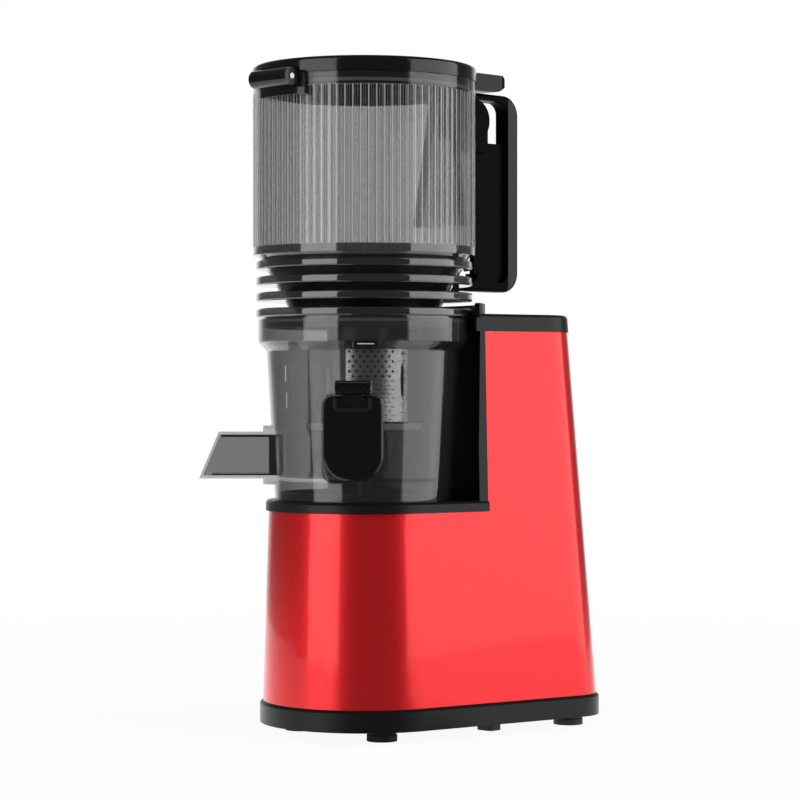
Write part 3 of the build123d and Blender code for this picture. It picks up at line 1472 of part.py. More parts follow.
with BuildPart() as lid_bracket:
    ring(bracket_plate, plate_radius, lid_bracket_low, hopper_top - slip)
    with BuildSketch(drum.offset(lid_bracket_low)) as sector:
        with Locations((0, -hopper_radius)):
            Rectangle(2 * hinge_bracket_half_width, hopper_radius)
    extrude(sector.sketch, amount=hopper_top - lid_bracket_low, mode=Mode.INTERSECT)
    with BuildSketch(side_section) as ear:
        with Locations(hinge_place):
            Circle(hinge_radius)
        with Locations(((hinge_y - hopper_radius) / 2, hinge_z)):
            Rectangle(-hinge_y - hopper_radius, 1.5 * hinge_radius)
    extrude(ear.sketch, amount=hinge_half_width, both=True)
    with BuildSketch(side_section) as gap:
        with Locations(hinge_place):
            Circle(hinge_radius + slip)
        with Locations((hinge_y, hinge_z + hinge_radius)):
            Rectangle(4 * hinge_radius, 2 * hinge_radius)
        with Locations((hinge_y - hinge_radius, hinge_z)):
            Rectangle(2 * hinge_radius, 4 * hinge_radius)
    extrude(gap.sketch, amount=inner_half, both=True, mode=Mode.SUBTRACT)
    disc(plate_radius, lid_bracket_low - hinge_radius, hopper_top + hinge_radius, mode=Mode.SUBTRACT)
    with BuildSketch(side_section) as bore:
        with Locations(hinge_place):
            Circle(lid_pin_radius + fit)
    extrude(bore.sketch, amount=hinge_half_width, both=True, mode=Mode.SUBTRACT)
save(lid_bracket, "lid_bracket")

with BuildPart() as lid_hinge_pin:
    with BuildSketch(side_section):
        with Locations(hinge_place):
            Circle(lid_pin_radius)
    extrude(amount=hinge_half_width + pin_proud, both=True)
save(lid_hinge_pin, "lid_hinge_pin")

# lifting tab over the handle
with BuildPart() as lid_tab:
    with BuildSketch(drum.offset(lid_low)) as tab_plan:
        with Locations((0, (tab_reach - tab_width / 2) / 2)):
            Rectangle(tab_width, tab_reach - tab_width / 2)
        with Locations((0, tab_reach - tab_width / 2)):
            Circle(tab_width / 2)
    extrude(tab_plan.sketch, amount=2 * (tab_top - lid_low))
    with BuildSketch(side_section) as tab_side:
        with BuildLine():
            Polyline(
                (0, lid_low), (lid_radius, lid_low), (lid_radius, lid_low + tab_under),
                (tab_reach - tab_nose, lid_low + tab_under), (tab_reach, tab_top - tab_drop),
                (tab_reach - tab_bevel, tab_top), (lid_radius + tab_root, tab_top),
                (lid_radius - lid_round, lid_top), (0, lid_top), close=True,
            )
        make_face()
        fillet(tab_side.vertices().group_by(Axis.X)[-1], tab_round)
    extrude(tab_side.sketch, amount=tab_width, both=True, mode=Mode.INTERSECT)

with BuildPart() as lid:
    turned((0, lid_low), (lid_radius, lid_low), (lid_radius, lid_top), (0, lid_top + lid_crown))
    fillet(lid.edges().filter_by(GeomType.CIRCLE).sort_by(Axis.Z)[-1], lid_round)
    add(lid_tab.part)
    disc(plug_radius, lid_low - plug_depth, lid_low)
    with BuildSketch(side_section) as knuckle:
        with Locations(hinge_place):
            Circle(hinge_radius)
        with Locations(((hinge_y - hopper_radius + lid_wall) / 2, lid_low + hinge_radius / 3)):
            Rectangle(-hinge_y - hopper_radius + lid_wall, 2 * hinge_radius / 3)
    extrude(knuckle.sketch, amount=lid_knuckle_half_width, both=True)
    # underside hollow, gasket groove and the pin's bore
    disc(plug_radius - lid_wall, lid_low - plug_depth, lid_top - lid_wall, mode=Mode.SUBTRACT)
    ring(plug_radius + fit, plug_radius - gasket_depth, gasket_low, gasket_low + gasket_height,
         mode=Mode.SUBTRACT)
    with BuildSketch(side_section) as bore:
        with Locations(hinge_place):
            Circle(lid_pin_radius + running)
    extrude(bore.sketch, amount=hinge_half_width, both=True, mode=Mode.SUBTRACT)
save(lid, "lid")

with BuildPart() as lid_gasket:
    ring(plug_radius + plug_clearance / 2, plug_radius - gasket_depth + fit,
         gasket_low + fit, gasket_low + gasket_height - fit)
save(lid_gasket, "lid_gasket")
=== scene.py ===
"""Cold press juicer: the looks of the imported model, piece by piece, and the small studio round it.

Metres, +Z up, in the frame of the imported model.  The front is -Y, the column and handle are at +Y.
"""

import math

import bmesh
import bpy
from mathutils import Matrix, Vector


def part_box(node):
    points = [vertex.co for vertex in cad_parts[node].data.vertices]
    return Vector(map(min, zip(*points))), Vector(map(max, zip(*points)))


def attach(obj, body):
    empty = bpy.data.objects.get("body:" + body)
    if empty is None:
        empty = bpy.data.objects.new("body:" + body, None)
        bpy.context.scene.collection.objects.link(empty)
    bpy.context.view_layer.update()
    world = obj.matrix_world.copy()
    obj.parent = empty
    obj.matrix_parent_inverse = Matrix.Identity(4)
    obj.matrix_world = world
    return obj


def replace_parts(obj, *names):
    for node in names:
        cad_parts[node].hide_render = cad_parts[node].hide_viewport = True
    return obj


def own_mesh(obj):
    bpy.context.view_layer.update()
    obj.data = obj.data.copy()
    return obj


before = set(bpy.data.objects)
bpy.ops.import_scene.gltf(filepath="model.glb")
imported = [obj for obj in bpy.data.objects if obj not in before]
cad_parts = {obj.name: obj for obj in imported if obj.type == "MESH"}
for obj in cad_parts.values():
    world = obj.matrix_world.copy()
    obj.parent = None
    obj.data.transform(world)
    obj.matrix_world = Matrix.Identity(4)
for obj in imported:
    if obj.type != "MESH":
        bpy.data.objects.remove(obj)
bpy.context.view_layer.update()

# ---------------------------------------------------------------- rubber feet and side pads
# Four grooved round feet and two small pads that take the weight under the sides.
# Moulded black rubber, pressed into holes in the tray; matt, with a fine even grain.


class Signal:
    """A socket that can be used in Python sums: each sum adds its Math node."""

    def __init__(self, finish, socket):
        self.finish = finish
        self.socket = socket

    def math(self, operation, first, second=None):
        inputs = {0: first} if second is None else {0: first, 1: second}
        return self.finish.node("ShaderNodeMath", {"operation": operation}, inputs)

    def __add__(self, other):
        return self.math("ADD", self, other)

    def __radd__(self, other):
        return self.math("ADD", other, self)

    def __sub__(self, other):
        return self.math("SUBTRACT", self, other)

    def __rsub__(self, other):
        return self.math("SUBTRACT", other, self)

    def __mul__(self, other):
        return self.math("MULTIPLY", self, other)

    def __rmul__(self, other):
        return self.math("MULTIPLY", other, self)

    def __lt__(self, other):
        return self.math("LESS_THAN", self, other)

    def __gt__(self, other):
        return self.math("GREATER_THAN", self, other)

    def __abs__(self):
        return self.math("ABSOLUTE", self)

    def least(self, other):
        return self.math("MINIMUM", self, other)


class Finish:
    """One material, or the air round the machine, made of nodes."""

    def __init__(self, name, kind="materials"):
        self.block = getattr(bpy.data, kind).new(name)
        self.block.use_nodes = True
        self.tree = self.block.node_tree
        self.tree.nodes.clear()
        self.place = self.node("ShaderNodeTexCoord", {}, {}, "Object")

    def node(self, kind, settings, inputs, output=0):
        """Add a node: its settings first, then the values or links of its sockets."""
        made = self.tree.nodes.new(kind)
        for name, setting in settings.items():
            if name == "stops":
                ramp = made.color_ramp.elements
                while len(ramp) < len(setting):
                    ramp.new(0.5)
                for stop, (position, colour) in zip(ramp, setting):
                    stop.position = position
                    stop.color = colour
            else:
                setattr(made, name, setting)
        for name, value in inputs.items():
            if isinstance(value, Signal):
                self.tree.links.new(value.socket, made.inputs[name])
            else:
                made.inputs[name].default_value = value
        return Signal(self, made.outputs[output]) if made.outputs else None

    def noise(self, scale, detail=2.0, stretch=(1.0, 1.0, 1.0)):
        """Noise from 0 to 1 over the piece, with a scale in blobs per metre."""
        place = self.node("ShaderNodeMapping", {}, {"Vector": self.place, "Scale": stretch})
        return self.node("ShaderNodeTexNoise", {}, {"Vector": place, "Scale": scale, "Detail": detail})

    def mix(self, factor, low, high):
        """A colour between two colours."""
        return self.node("ShaderNodeMix", {"data_type": "RGBA"}, {0: factor, 6: low, 7: high}, 2)

    def bump(self, height, distance, strength=1.0):
        """A normal from a height map whose full height is a distance in metres."""
        return self.node("ShaderNodeBump", {},
                         {"Height": height, "Distance": distance, "Strength": strength})

    def surface(self, inputs):
        """Finish with a Principled surface."""
        shader = self.node("ShaderNodeBsdfPrincipled", {}, inputs)
        self.node("ShaderNodeOutputMaterial", {}, {"Surface": shader})
        return self.block


def dress(material, *nodes):
    """Give carried-over CAD nodes their one material."""
    for name in nodes:
        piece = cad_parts[name]
        piece.data.materials.clear()
        piece.data.materials.append(material)


def moulded(name, colour, roughness, grain_scale, grain_depth, shine=0.5):
    """Moulded plastic or rubber: nearly even colour, slightly uneven gloss, fine grain.

    The grain's scale is in grains per metre and its depth is in metres.
    """
    finish = Finish(name)
    cloud = finish.noise(28.0)
    grain = finish.noise(grain_scale, 3.0)
    dark = (*[0.86 * part for part in colour], 1.0)
    light = (*[1.12 * part for part in colour], 1.0)
    return finish.surface({
        "Base Color": finish.mix(cloud, dark, light),
        "Roughness": roughness - 0.04 + 0.08 * cloud,
        "Specular IOR Level": shine,
        "Normal": finish.bump(grain, grain_depth),
    })


rubber = moulded("foot_rubber", (0.012, 0.012, 0.012), 0.62, 900.0, 0.00006, 0.35)
dress(rubber, "rubber_feet", "side_pads")

# ---------------------------------------------------------------- base tray
# Black moulded tray that closes the machine underneath, with intake slots below the motor.
# Satin plastic; four steel screws hold it to posts in the shell.
satin_black = moulded("satin_black", (0.0058, 0.0060, 0.0062), 0.33, 1600.0, 0.00002, 0.2)
dress(satin_black, "base_plate")


def metal(name, colour, roughness, stretch, streak_scale=60.0, streak_depth=0.00002):
    """Bare metal with the fine lines that drawing, turning or brushing leaves."""
    finish = Finish(name)
    streak = finish.noise(streak_scale, 4.0, stretch)
    dark = (*[0.82 * part for part in colour], 1.0)
    light = (*colour, 1.0)
    return finish.surface({
        "Base Color": finish.mix(streak, dark, light),
        "Metallic": 1.0,
        "Roughness": roughness - 0.06 + 0.12 * streak,
        "Normal": finish.bump(streak, streak_depth),
    })


turned_steel = metal("turned_steel", (0.62, 0.62, 0.63), 0.28, (1.0, 1.0, 40.0))
dress(turned_steel, "base_screws")

# ---------------------------------------------------------------- red shell
# One thin shell, round at the front and square at the back, that tapers upwards into the column.
# Plastic with a metallic candy red coat under clear lacquer, so its reflections stay soft and red.
shell_red = Finish("shell_red")
flake = shell_red.noise(5200.0, 1.0)
sweep = shell_red.noise(9.0)
dress(
    shell_red.surface({
        "Base Color": shell_red.mix(flake, (0.66, 0.008, 0.011, 1.0), (0.80, 0.016, 0.020, 1.0)),
        "Metallic": 0.6,
        "Roughness": 0.27 + 0.03 * sweep,
        "Specular IOR Level": 0.3,
        "Coat Weight": 0.35,
        "Coat Roughness": 0.06,
        "Normal": shell_red.bump(flake, 0.000003),
    }),
    "body_shell",
)

# ---------------------------------------------------------------- deck, column trim and cap
# Black moulded frame: the ring round the front, the strips up the column, the wall behind the
# drum and the cap with its raised lip.  Satin plastic, clipped into the shell.
dress(satin_black, "deck_frame", "column_liner", "column_cap")

# ---------------------------------------------------------------- control on the left side
# Turned bezel with a push-on knob over a rotary switch.  Gloss black knob, satin bezel.
# The knob's pointer and the bezel's three marks are pale lines, printed on the front faces.
gloss_black = moulded("gloss_black", (0.0036, 0.0036, 0.0040), 0.13, 1200.0, 0.000005, 0.28)
dress(satin_black, "knob_bezel", "selector_switch")
dress(gloss_black, "selector_knob")


def build(name, shape, material):
    """Turn a bmesh into an object of the scene, in one material."""
    mesh = bpy.data.meshes.new(name)
    shape.to_mesh(mesh)
    shape.free()
    mesh.materials.append(material)
    piece = bpy.data.objects.new(name, mesh)
    bpy.context.scene.collection.objects.link(piece)
    return piece


def moulding(name, parts, axis, azimuth, body, material, soften=0.0002):
    """Solid shapes that face outwards at an azimuth, joined in one piece with softened edges.

    Each part is an outline of points across and up, its inner reach from the upright axis at
    (x, y) and its outer reach, all in metres.
    """
    outward = Vector((math.cos(math.radians(azimuth)), math.sin(math.radians(azimuth)), 0.0))
    across = Vector((-outward.y, outward.x, 0.0))
    shape = bmesh.new()
    for outline, inner, outer in parts:
        rings = []
        for reach in (inner, outer):
            base = Vector((*axis, 0.0)) + reach * outward
            rings.append([shape.verts.new(base + u * across + Vector((0.0, 0.0, v)))
                          for u, v in outline])
        shape.faces.new(rings[0])
        shape.faces.new(rings[1])
        for corner in range(len(outline)):
            after = (corner + 1) % len(outline)
            shape.faces.new((rings[0][corner], rings[0][after], rings[1][after], rings[1][corner]))
    bmesh.ops.recalc_face_normals(shape, faces=shape.faces)
    piece = build(name, shape, material)
    edge = piece.modifiers.new("edge", "BEVEL")
    edge.width = soften
    edge.segments = 2
    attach(piece, body)


def tick(angle, inner, outer, width, height):
    """Outline of a short radial line round a centre at a height; angle 0 points up."""
    along = Vector((math.sin(math.radians(angle)), math.cos(math.radians(angle))))
    side = Vector((along.y, -along.x)) * width / 2
    corners = (inner * along - side, inner * along + side,
               outer * along + side, outer * along - side)
    return [(u, v + height) for u, v in corners]


# Pale plastic for the printed marks, also used for painted highlight strips on the drum.
pale_print_and_highlight = moulded("print_and_highlight_pale", (0.62, 0.63, 0.65), 0.4, 900.0, 0.00001)
knob_azimuth = -168.5
knob_stops = (-45, 0, 45)
pointer_from = 0.0040                 # from the knob's centre
pointer_to = 0.0140
pointer_width = 0.0014
mark_from = 0.0192                    # from the bezel's centre
mark_to = 0.0212
mark_width = 0.0009
print_depth = 0.0002                  # to each side of the face that it is printed on
print_edge = 0.0001


def front_face(node):
    """Middle of the face of a CAD node that looks out along the knob's axis."""
    outward = Vector((math.cos(math.radians(knob_azimuth)), math.sin(math.radians(knob_azimuth)), 0.0))
    points = [vert.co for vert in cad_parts[node].data.vertices]
    furthest = max(point.dot(outward) for point in points)
    tips = [point for point in points if point.dot(outward) > furthest - 0.00005]
    return sum(tips, Vector()) / len(tips)


knob_face = front_face("selector_knob")
bezel_face = front_face("knob_bezel")
pointer = tick(0, pointer_from, pointer_to, pointer_width, knob_face.z)
marks = [tick(stop, mark_from, mark_to, mark_width, bezel_face.z) for stop in knob_stops]
moulding("knob_pointer", [(pointer, -print_depth, print_depth)],
         knob_face.xy, knob_azimuth, "knob", pale_print_and_highlight, print_edge)
moulding("knob_marks", [(mark, -print_depth, print_depth) for mark in marks],
         bezel_face.xy, knob_azimuth, "base", pale_print_and_highlight, print_edge)

# ---------------------------------------------------------------- mains inlet
# Socket for a detachable lead in the back wall: a satin plastic well, pressed into the shell,
# with three plated brass blades.
plated_brass = metal("plated_brass", (0.83, 0.70, 0.42), 0.22, (30.0, 1.0, 1.0))
dress(satin_black, "power_inlet")
dress(plated_brass, "inlet_pins")

# ---------------------------------------------------------------- gearbox and drive shaft
# Two-stage spur gears in a plastic case under the drum; acetal gears on steel, bronze bushes.
# The hexagonal shaft that carries the auger is steel, coloured nearly black as painted shade where it
# shows through the bowl.
case_grey = moulded("case_grey", (0.05, 0.052, 0.055), 0.5, 1200.0, 0.00004)
acetal = moulded("acetal", (0.78, 0.76, 0.69), 0.38, 900.0, 0.00001)
sintered_bronze = metal("sintered_bronze", (0.66, 0.48, 0.28), 0.4, (1.0, 1.0, 1.0), 2000.0)
dress(case_grey, "gearbox_case", "gearbox_cover")
dress(acetal, "output_gear", "idler_gear", "motor_fan")
dress(turned_steel, "gearbox_screws", "idler_axle", "motor_pinion", "deck_bearing")
# Nearly black steel: painted shade on the shaft.
dress(metal("shade_dark_steel", (0.035, 0.036, 0.040), 0.35, (1.0, 1.0, 40.0)), "drive_shaft")
dress(sintered_bronze, "shaft_bushes")
dress(rubber, "deck_seal")

# ---------------------------------------------------------------- motor
# Upright motor bolted to the gearbox cover: drawn steel can, cast end bell, laminated stator,
# enamelled copper windings and a moulded fan on top.
drawn_steel = metal("drawn_steel", (0.50, 0.50, 0.51), 0.34, (1.0, 1.0, 0.05), 120.0)
laminations = metal("laminations", (0.36, 0.36, 0.37), 0.45, (0.02, 0.02, 60.0), 40.0)
cast_aluminium = metal("cast_aluminium", (0.72, 0.72, 0.73), 0.46, (1.0, 1.0, 1.0), 700.0, 0.00008)
copper_wire = metal("copper_wire", (0.80, 0.34, 0.15), 0.30, (1.0, 1.0, 8.0), 260.0, 0.0002)
dress(drawn_steel, "motor_can")
dress(laminations, "motor_stator", "motor_rotor")
dress(copper_wire, "motor_windings")
dress(cast_aluminium, "motor_end_bell", "run_capacitor")
dress(turned_steel, "motor_bearings", "motor_screws")

# ---------------------------------------------------------------- electronics in the column
# Control board on four standoffs behind the liner, with relays, and the lid's interlock sensor.
solder_mask = moulded("solder_mask", (0.01, 0.12, 0.045), 0.3, 800.0, 0.00002)
dress(solder_mask, "control_board")
dress(turned_steel, "board_screws")
dress(satin_black, "interlock_sensor")

# ---------------------------------------------------------------- juicing drum
# Smoky clear bowl, one injection moulding with the pulp spout and the outlet's neck.
# A silicone lip seal in its floor turns against the drive shaft.


def smoky(finish, clear, tint, painted_glint=0.0):
    """Clear plastic with a grey tint; clear is the share of light that each face lets through.

    It may vary over the surface, and so may the last argument, a painted highlight that from 0 to 1
    whitens the surface and dulls it.
    """
    facing = finish.node("ShaderNodeLayerWeight", {}, {"Blend": 0.12}, "Facing")
    ripple = finish.noise(16.0)
    dark = (tint, tint, 1.05 * tint, 1.0)
    return finish.surface({
        "Base Color": finish.mix(painted_glint, dark, (0.62, 0.63, 0.65, 1.0)) if painted_glint else dark,
        "Roughness": 0.05 + 0.02 * ripple + 0.25 * painted_glint,
        "IOR": 1.5,
        "Specular IOR Level": 0.7,
        "Coat Weight": 0.8,
        "Coat Roughness": 0.03,
        "Alpha": (1 - clear * (1 - facing)) + 0.30 * painted_glint,
        "Normal": finish.bump(ripple, 0.0003),
    })


# The bowl's tint is lighter than the hopper's, a painted sheen that shows where its edges turn opaque.
smoky_bowl = smoky(Finish("smoky_bowl"), 0.63, 0.026)
silicone = moulded("silicone", (0.30, 0.30, 0.31), 0.45, 600.0, 0.00002)
dress(smoky_bowl, "drum_bowl")
dress(silicone, "shaft_seal")

# ---------------------------------------------------------------- strainer
# Smoky frame with two windows of perforated stainless sheet, moulded in at their edges.
# The sheet has round holes above and narrow slits below, and one tall slot beside them.
dress(smoky(Finish("smoky_frame"), 0.60, 0.02), "strainer_frame")
bright_steel = metal("bright_steel", (0.93, 0.93, 0.94), 0.28, (1.0, 1.0, 6.0), 90.0)
shaft_low, shaft_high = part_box("drive_shaft")
drum_y = (shaft_low[1] + shaft_high[1]) / 2
drum_axis = (0.0, drum_y)
sheet_radius = 0.037
sheet_gauge = 0.0006
sheet_from = math.radians(-63.6)      # plan angle of the sheet's left edge
sheet_low = 0.2072
sheet_high = 0.2548
hole_pitch = 0.0049
hole_columns = 7
hole_rows = 6
hole_row = 0.00325                    # height of one row of round holes
slit_row = 0.0028
round_hole = (0.0020, 0.0020)         # width and height
narrow_slit = (0.0034, 0.0006)
tall_slot = (0.0032, 0.0250)
rib_width = 0.0105                    # plain strip with the tall slot
rib_hole_low = 0.2490                 # the strip's round hole takes from here to the top
slot_low = 0.2190
slot_height = 0.0300


def punched_row(sheet, left, low, height, pitch, count, hole, shifted):
    """Add one row of cells, each with an eight-sided hole in its middle, to a flat sheet."""
    half = pitch / 2
    for index in range(count - shifted):
        middle = (left + half * (1 + shifted) + index * pitch, low + height / 2)
        rim = [(-half, -height / 2), (0, -height / 2), (half, -height / 2), (half, 0),
               (half, height / 2), (0, height / 2), (-half, height / 2), (-half, 0)]
        bore = [(hole[0] / 2 * math.cos(math.radians(turn)),
                 hole[1] / 2 * math.sin(math.radians(turn)))
                for turn in range(-135, 181, 45)]
        outer = [sheet.verts.new((middle[0] + u, middle[1] + v, 0)) for u, v in rim]
        inner = [sheet.verts.new((middle[0] + u, middle[1] + v, 0)) for u, v in bore]
        for corner in range(8):
            after = (corner + 1) % 8
            sheet.faces.new((outer[corner], outer[after], inner[after], inner[corner]))
    if shifted:
        for start, side in ((left, 1), (left + count * pitch, -1)):
            points = [(start, low), (start + side * half, low), (start + side * half, low + height / 2),
                      (start + side * half, low + height), (start, low + height)]
            face = sheet.faces.new([sheet.verts.new((u, v, 0)) for u, v in points])
            if side < 0:
                face.normal_flip()


def perforated_sheet(name, turn):
    """One window's sheet, punched flat and then rolled to the strainer's radius."""
    sheet = bmesh.new()
    low = sheet_high
    row = 0
    while low - slit_row > sheet_low - slit_row / 2:
        height, hole = (hole_row, round_hole) if row < hole_rows else (slit_row, narrow_slit)
        low -= height
        punched_row(sheet, 0.0, low, height, hole_pitch, hole_columns, hole, row % 2)
        row += 1
    rib = hole_columns * hole_pitch
    punched_row(sheet, rib, rib_hole_low, sheet_high - rib_hole_low, rib_width, 1, round_hole, 0)
    punched_row(sheet, rib, slot_low, slot_height, rib_width, 1, tall_slot, 0)
    punched_row(sheet, rib, low, slot_low - low, rib_width, 1, narrow_slit, 0)
    bmesh.ops.remove_doubles(sheet, verts=sheet.verts, dist=0.00001)
    for vert in sheet.verts:
        angle = turn + sheet_from + vert.co.x / sheet_radius
        vert.co = (sheet_radius * math.cos(angle), drum_y + sheet_radius * math.sin(angle),
                   vert.co.y)
    bmesh.ops.recalc_face_normals(sheet, faces=sheet.faces)
    piece = build(name, sheet, bright_steel)
    gauge = piece.modifiers.new("gauge", "SOLIDIFY")
    gauge.thickness = sheet_gauge
    gauge.offset = 0.0
    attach(piece, "drum")
    return piece


for number, turn in enumerate((0.0, math.pi), 1):
    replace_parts(perforated_sheet(f"strainer_sheet_{number}", turn), "strainer_mesh")

# ---------------------------------------------------------------- mouldings on the drum
# Plates inside the pulp spout, near black as painted shade for the dark edges of its clear walls;
# locking lug under the collar, with a pale strip on its edge as a painted highlight; two measuring
# marks and the band that clamps the strainer sheet, painted pale as a highlight.  Dark and pale
# plastic, moulded or pressed on, each riding the drum.


def block(half, low, high):
    """Outline of an upright rectangle, half its width to each side."""
    return [(-half, low), (half, low), (half, high), (-half, high)]


spout_azimuth = -135.0
shade_plate_half = 0.0129
shade_wall_thickness = 0.0010                    # thickness of a side wall
shade_back = 0.0546                    # from the drum's axis, as are the other reaches
shade_roof = (0.1969, 0.1984)
shade_roof_reach = 0.0945
shade_floor = (0.1716, 0.1726)
shade_floor_reach = 0.1010
shade_wall_low = 0.1722
shade_wall_high = 0.1980
shade_wall_reaches = ((0.0588, 0.0630), (shade_back, 0.0562))
# Painted shade: near-black plates under the spout's roof, over its floor and round its root stand in
# for the dark look of its thick clear walls.
spout_shade_parts = [(block(shade_plate_half, *shade_roof), shade_back, shade_roof_reach),
        (block(shade_plate_half, *shade_floor), shade_back, shade_floor_reach)]
for side in (-1, 1):
    wall = [(side * shade_plate_half, shade_wall_low), (side * (shade_plate_half - shade_wall_thickness), shade_wall_low),
            (side * (shade_plate_half - shade_wall_thickness), shade_wall_high), (side * shade_plate_half, shade_wall_high)]
    spout_shade_parts += [(wall, inner, outer) for inner, outer in shade_wall_reaches]
# Near black: painted shade in the spout, and the collar lug's own colour.
lug_and_shade_black = moulded("lug_and_shade_black", (0.004, 0.004, 0.0045), 0.12, 900.0, 0.00001, 0.5)
moulding("spout_shade_plates", spout_shade_parts, drum_axis, spout_azimuth, "drum", lug_and_shade_black)

lug_azimuth = -43.5
lug_edge_softness = 0.0006
moulding("collar_lug", [(block(0.0085, 0.2548, 0.2590), 0.0675, 0.0713)], drum_axis, lug_azimuth,
         "drum", lug_and_shade_black, lug_edge_softness)
# A pale strip along the lug's top edge: a painted highlight.
moulding("lug_edge_highlight", [(block(0.0054, 0.2573, 0.2580), 0.0712, 0.0716)], drum_axis, lug_azimuth,
         "drum", pale_print_and_highlight, print_edge)

marks_azimuth = -96.7
mark_half = 0.00035
moulding("measuring_marks", [
    (block(mark_half, 0.2335, 0.2437), 0.0642, 0.0648),
    (block(mark_half, 0.2163, 0.2263), 0.0633, 0.0639),
], drum_axis, marks_azimuth, "drum", pale_print_and_highlight, print_edge)

# The band clamps the strainer sheet; its pale colour is a painted highlight in place of a steel band's
# shine.
band_radius = 0.0388
band_lip = 0.0004                     # how far its two edges turn in
band_sides = 96
band = bmesh.new()
rings = []
for height, radius in ((0.2018, band_radius - band_lip), (0.2023, band_radius),
                       (0.2055, band_radius), (0.2060, band_radius - band_lip)):
    rings.append(bmesh.ops.create_circle(
        band, segments=band_sides, radius=radius,
        matrix=Matrix.Translation((*drum_axis, height)))["verts"])
for lower, upper in zip(rings, rings[1:]):
    for index in range(band_sides):
        after = (index + 1) % band_sides
        band.faces.new((lower[index], lower[after], upper[after], upper[index]))
pale_band_highlight = build("pale_band_highlight", band, pale_print_and_highlight)
pale_band_highlight.data.shade_smooth()
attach(pale_band_highlight, "drum")

# ---------------------------------------------------------------- auger
# One tough moulded screw with a feeding blade on top, in dark plastic with a slight grain.
# It stands on the shaft and is driven by its hexagon.
dress(moulded("auger_plastic", (0.020, 0.020, 0.021), 0.28, 700.0, 0.00003), "auger")

# ---------------------------------------------------------------- juice cap
# Gloss black flap that closes the outlet, hinged on a steel pin in a bracket on the bowl.
# A silicone seal lies behind it and a raised U on its front gives the finger a hold.
dress(gloss_black, "outlet_bracket", "juice_cap")
dress(silicone, "juice_cap_seal")


def rounded_u(half, low, high, corner, width):
    """Outline of an upright U with round lower corners, as a strip of one width."""
    turns = [math.radians(angle) for angle in range(180, 271, 15)]
    left = [(-half + corner + corner * math.cos(turn), low + corner + corner * math.sin(turn))
            for turn in turns]
    inset = corner - width
    inner = [(-half + corner + inset * math.cos(turn), low + corner + inset * math.sin(turn))
             for turn in turns]
    outside = [(-half, high)] + left + [(-u, v) for u, v in reversed(left)] + [(half, high)]
    inside = [(half - width, high)] + [(-u, v) for u, v in inner] + list(reversed(inner))
    return outside + inside + [(-half + width, high)]


cap_azimuth = -49.5
finger_rest = rounded_u(half=0.0126, low=0.2143, high=0.2230, corner=0.0036, width=0.0024)
# A lighter black than the flap's: painted sheen on the raised U's rounded edges.
painted_sheen_black = moulded("painted_sheen_black", (0.0085, 0.0085, 0.0090), 0.2, 900.0, 0.00001, 0.4)
moulding("cap_finger_rest", [(finger_rest, 0.0768, 0.0778)], drum_axis, cap_azimuth,
         "juice_cap", painted_sheen_black)
# A pale grey line across the bracket's face: a painted highlight along its moulded edge.
painted_highlight_grey = moulded("painted_highlight_grey", (0.075, 0.075, 0.078), 0.3, 900.0, 0.00001, 0.4)
moulding("bracket_highlight_line", [(block(0.0107, 0.2328, 0.2332), 0.0796, 0.0803)], drum_axis, cap_azimuth,
         "drum", painted_highlight_grey, print_edge)
dress(turned_steel, "juice_cap_pin")

# ---------------------------------------------------------------- hopper
# Fluted cup on a finned funnel, one smoky clear moulding.
# The funnel is thick and lets little light through; the ridges between the flutes are whitened and
# dulled as thin painted highlights.
flute_count = 90
ridge_share = 0.055                   # half a ridge's width, as a share of the pitch
ridge_low = 0.3225
ridge_high = 0.4237
funnel_top = 0.3222
cup_clear = 0.68
funnel_loss = 0.7                     # share of the cup's clearness that the funnel lacks
cup = Finish("smoky_hopper")
cup_x, cup_y, cup_z = [cup.node("ShaderNodeSeparateXYZ", {}, {"Vector": cup.place}, way)
                       for way in "XYZ"]
turn = cup.node("ShaderNodeMath", {"operation": "ARCTAN2"}, {0: cup_y - drum_y, 1: cup_x})
step = cup.node("ShaderNodeMath", {"operation": "FRACT"}, {0: (flute_count / (2 * math.pi)) * turn})
# Mask of the thin painted highlights along the ridges between the flutes, on the cup only.
ridge = (abs(step - 0.5) < ridge_share) * (cup_z > ridge_low) * (cup_z < ridge_high)
dress(smoky(cup, cup_clear * (1 - funnel_loss * (cup_z < funnel_top)), 0.012, ridge), "hopper")
dress(silicone, "bowl_gasket")

# ---------------------------------------------------------------- handle and latch button
# Black handle screwed to a curved smoky plate on the hopper's back; round button in a tube.
# The rim that the palm polishes is glossier than the web inside it.
rim_from = 0.104
plate_foot = 0.340
plate_foot_half = 0.0195              # half the clear middle's width at the plate's foot
plate_narrowing = 0.1467              # what the middle loses on each side per metre of height
plate_cover = 0.34                    # of the middle
edge_cover = 0.60                     # added along both edges, which makes them darker
grip_black = Finish("grip_black")
grip_y = grip_black.node("ShaderNodeSeparateXYZ", {}, {"Vector": grip_black.place}, "Y")
grip_cloud = grip_black.noise(28.0)
dress(
    grip_black.surface({
        "Base Color": grip_black.mix(grip_cloud, (0.0032, 0.0032, 0.0034, 1.0),
                                     (0.0044, 0.0044, 0.0048, 1.0)),
        "Roughness": 0.22 + 0.06 * grip_cloud,
        "Specular IOR Level": 0.01,
        "Coat Weight": 0.36 * (grip_y > rim_from),
        "Coat Roughness": 0.12,
        "Normal": grip_black.bump(grip_black.noise(1200.0, 3.0), 0.000008),
    }),
    "hopper_handle", "latch_button",
)
plate_smoke = Finish("plate_smoke")
plate_side, plate_rise = [
    plate_smoke.node("ShaderNodeSeparateXYZ", {}, {"Vector": plate_smoke.place}, way) for way in "XZ"]
plate_edge = abs(plate_side) > plate_foot_half - plate_narrowing * (plate_rise - plate_foot)
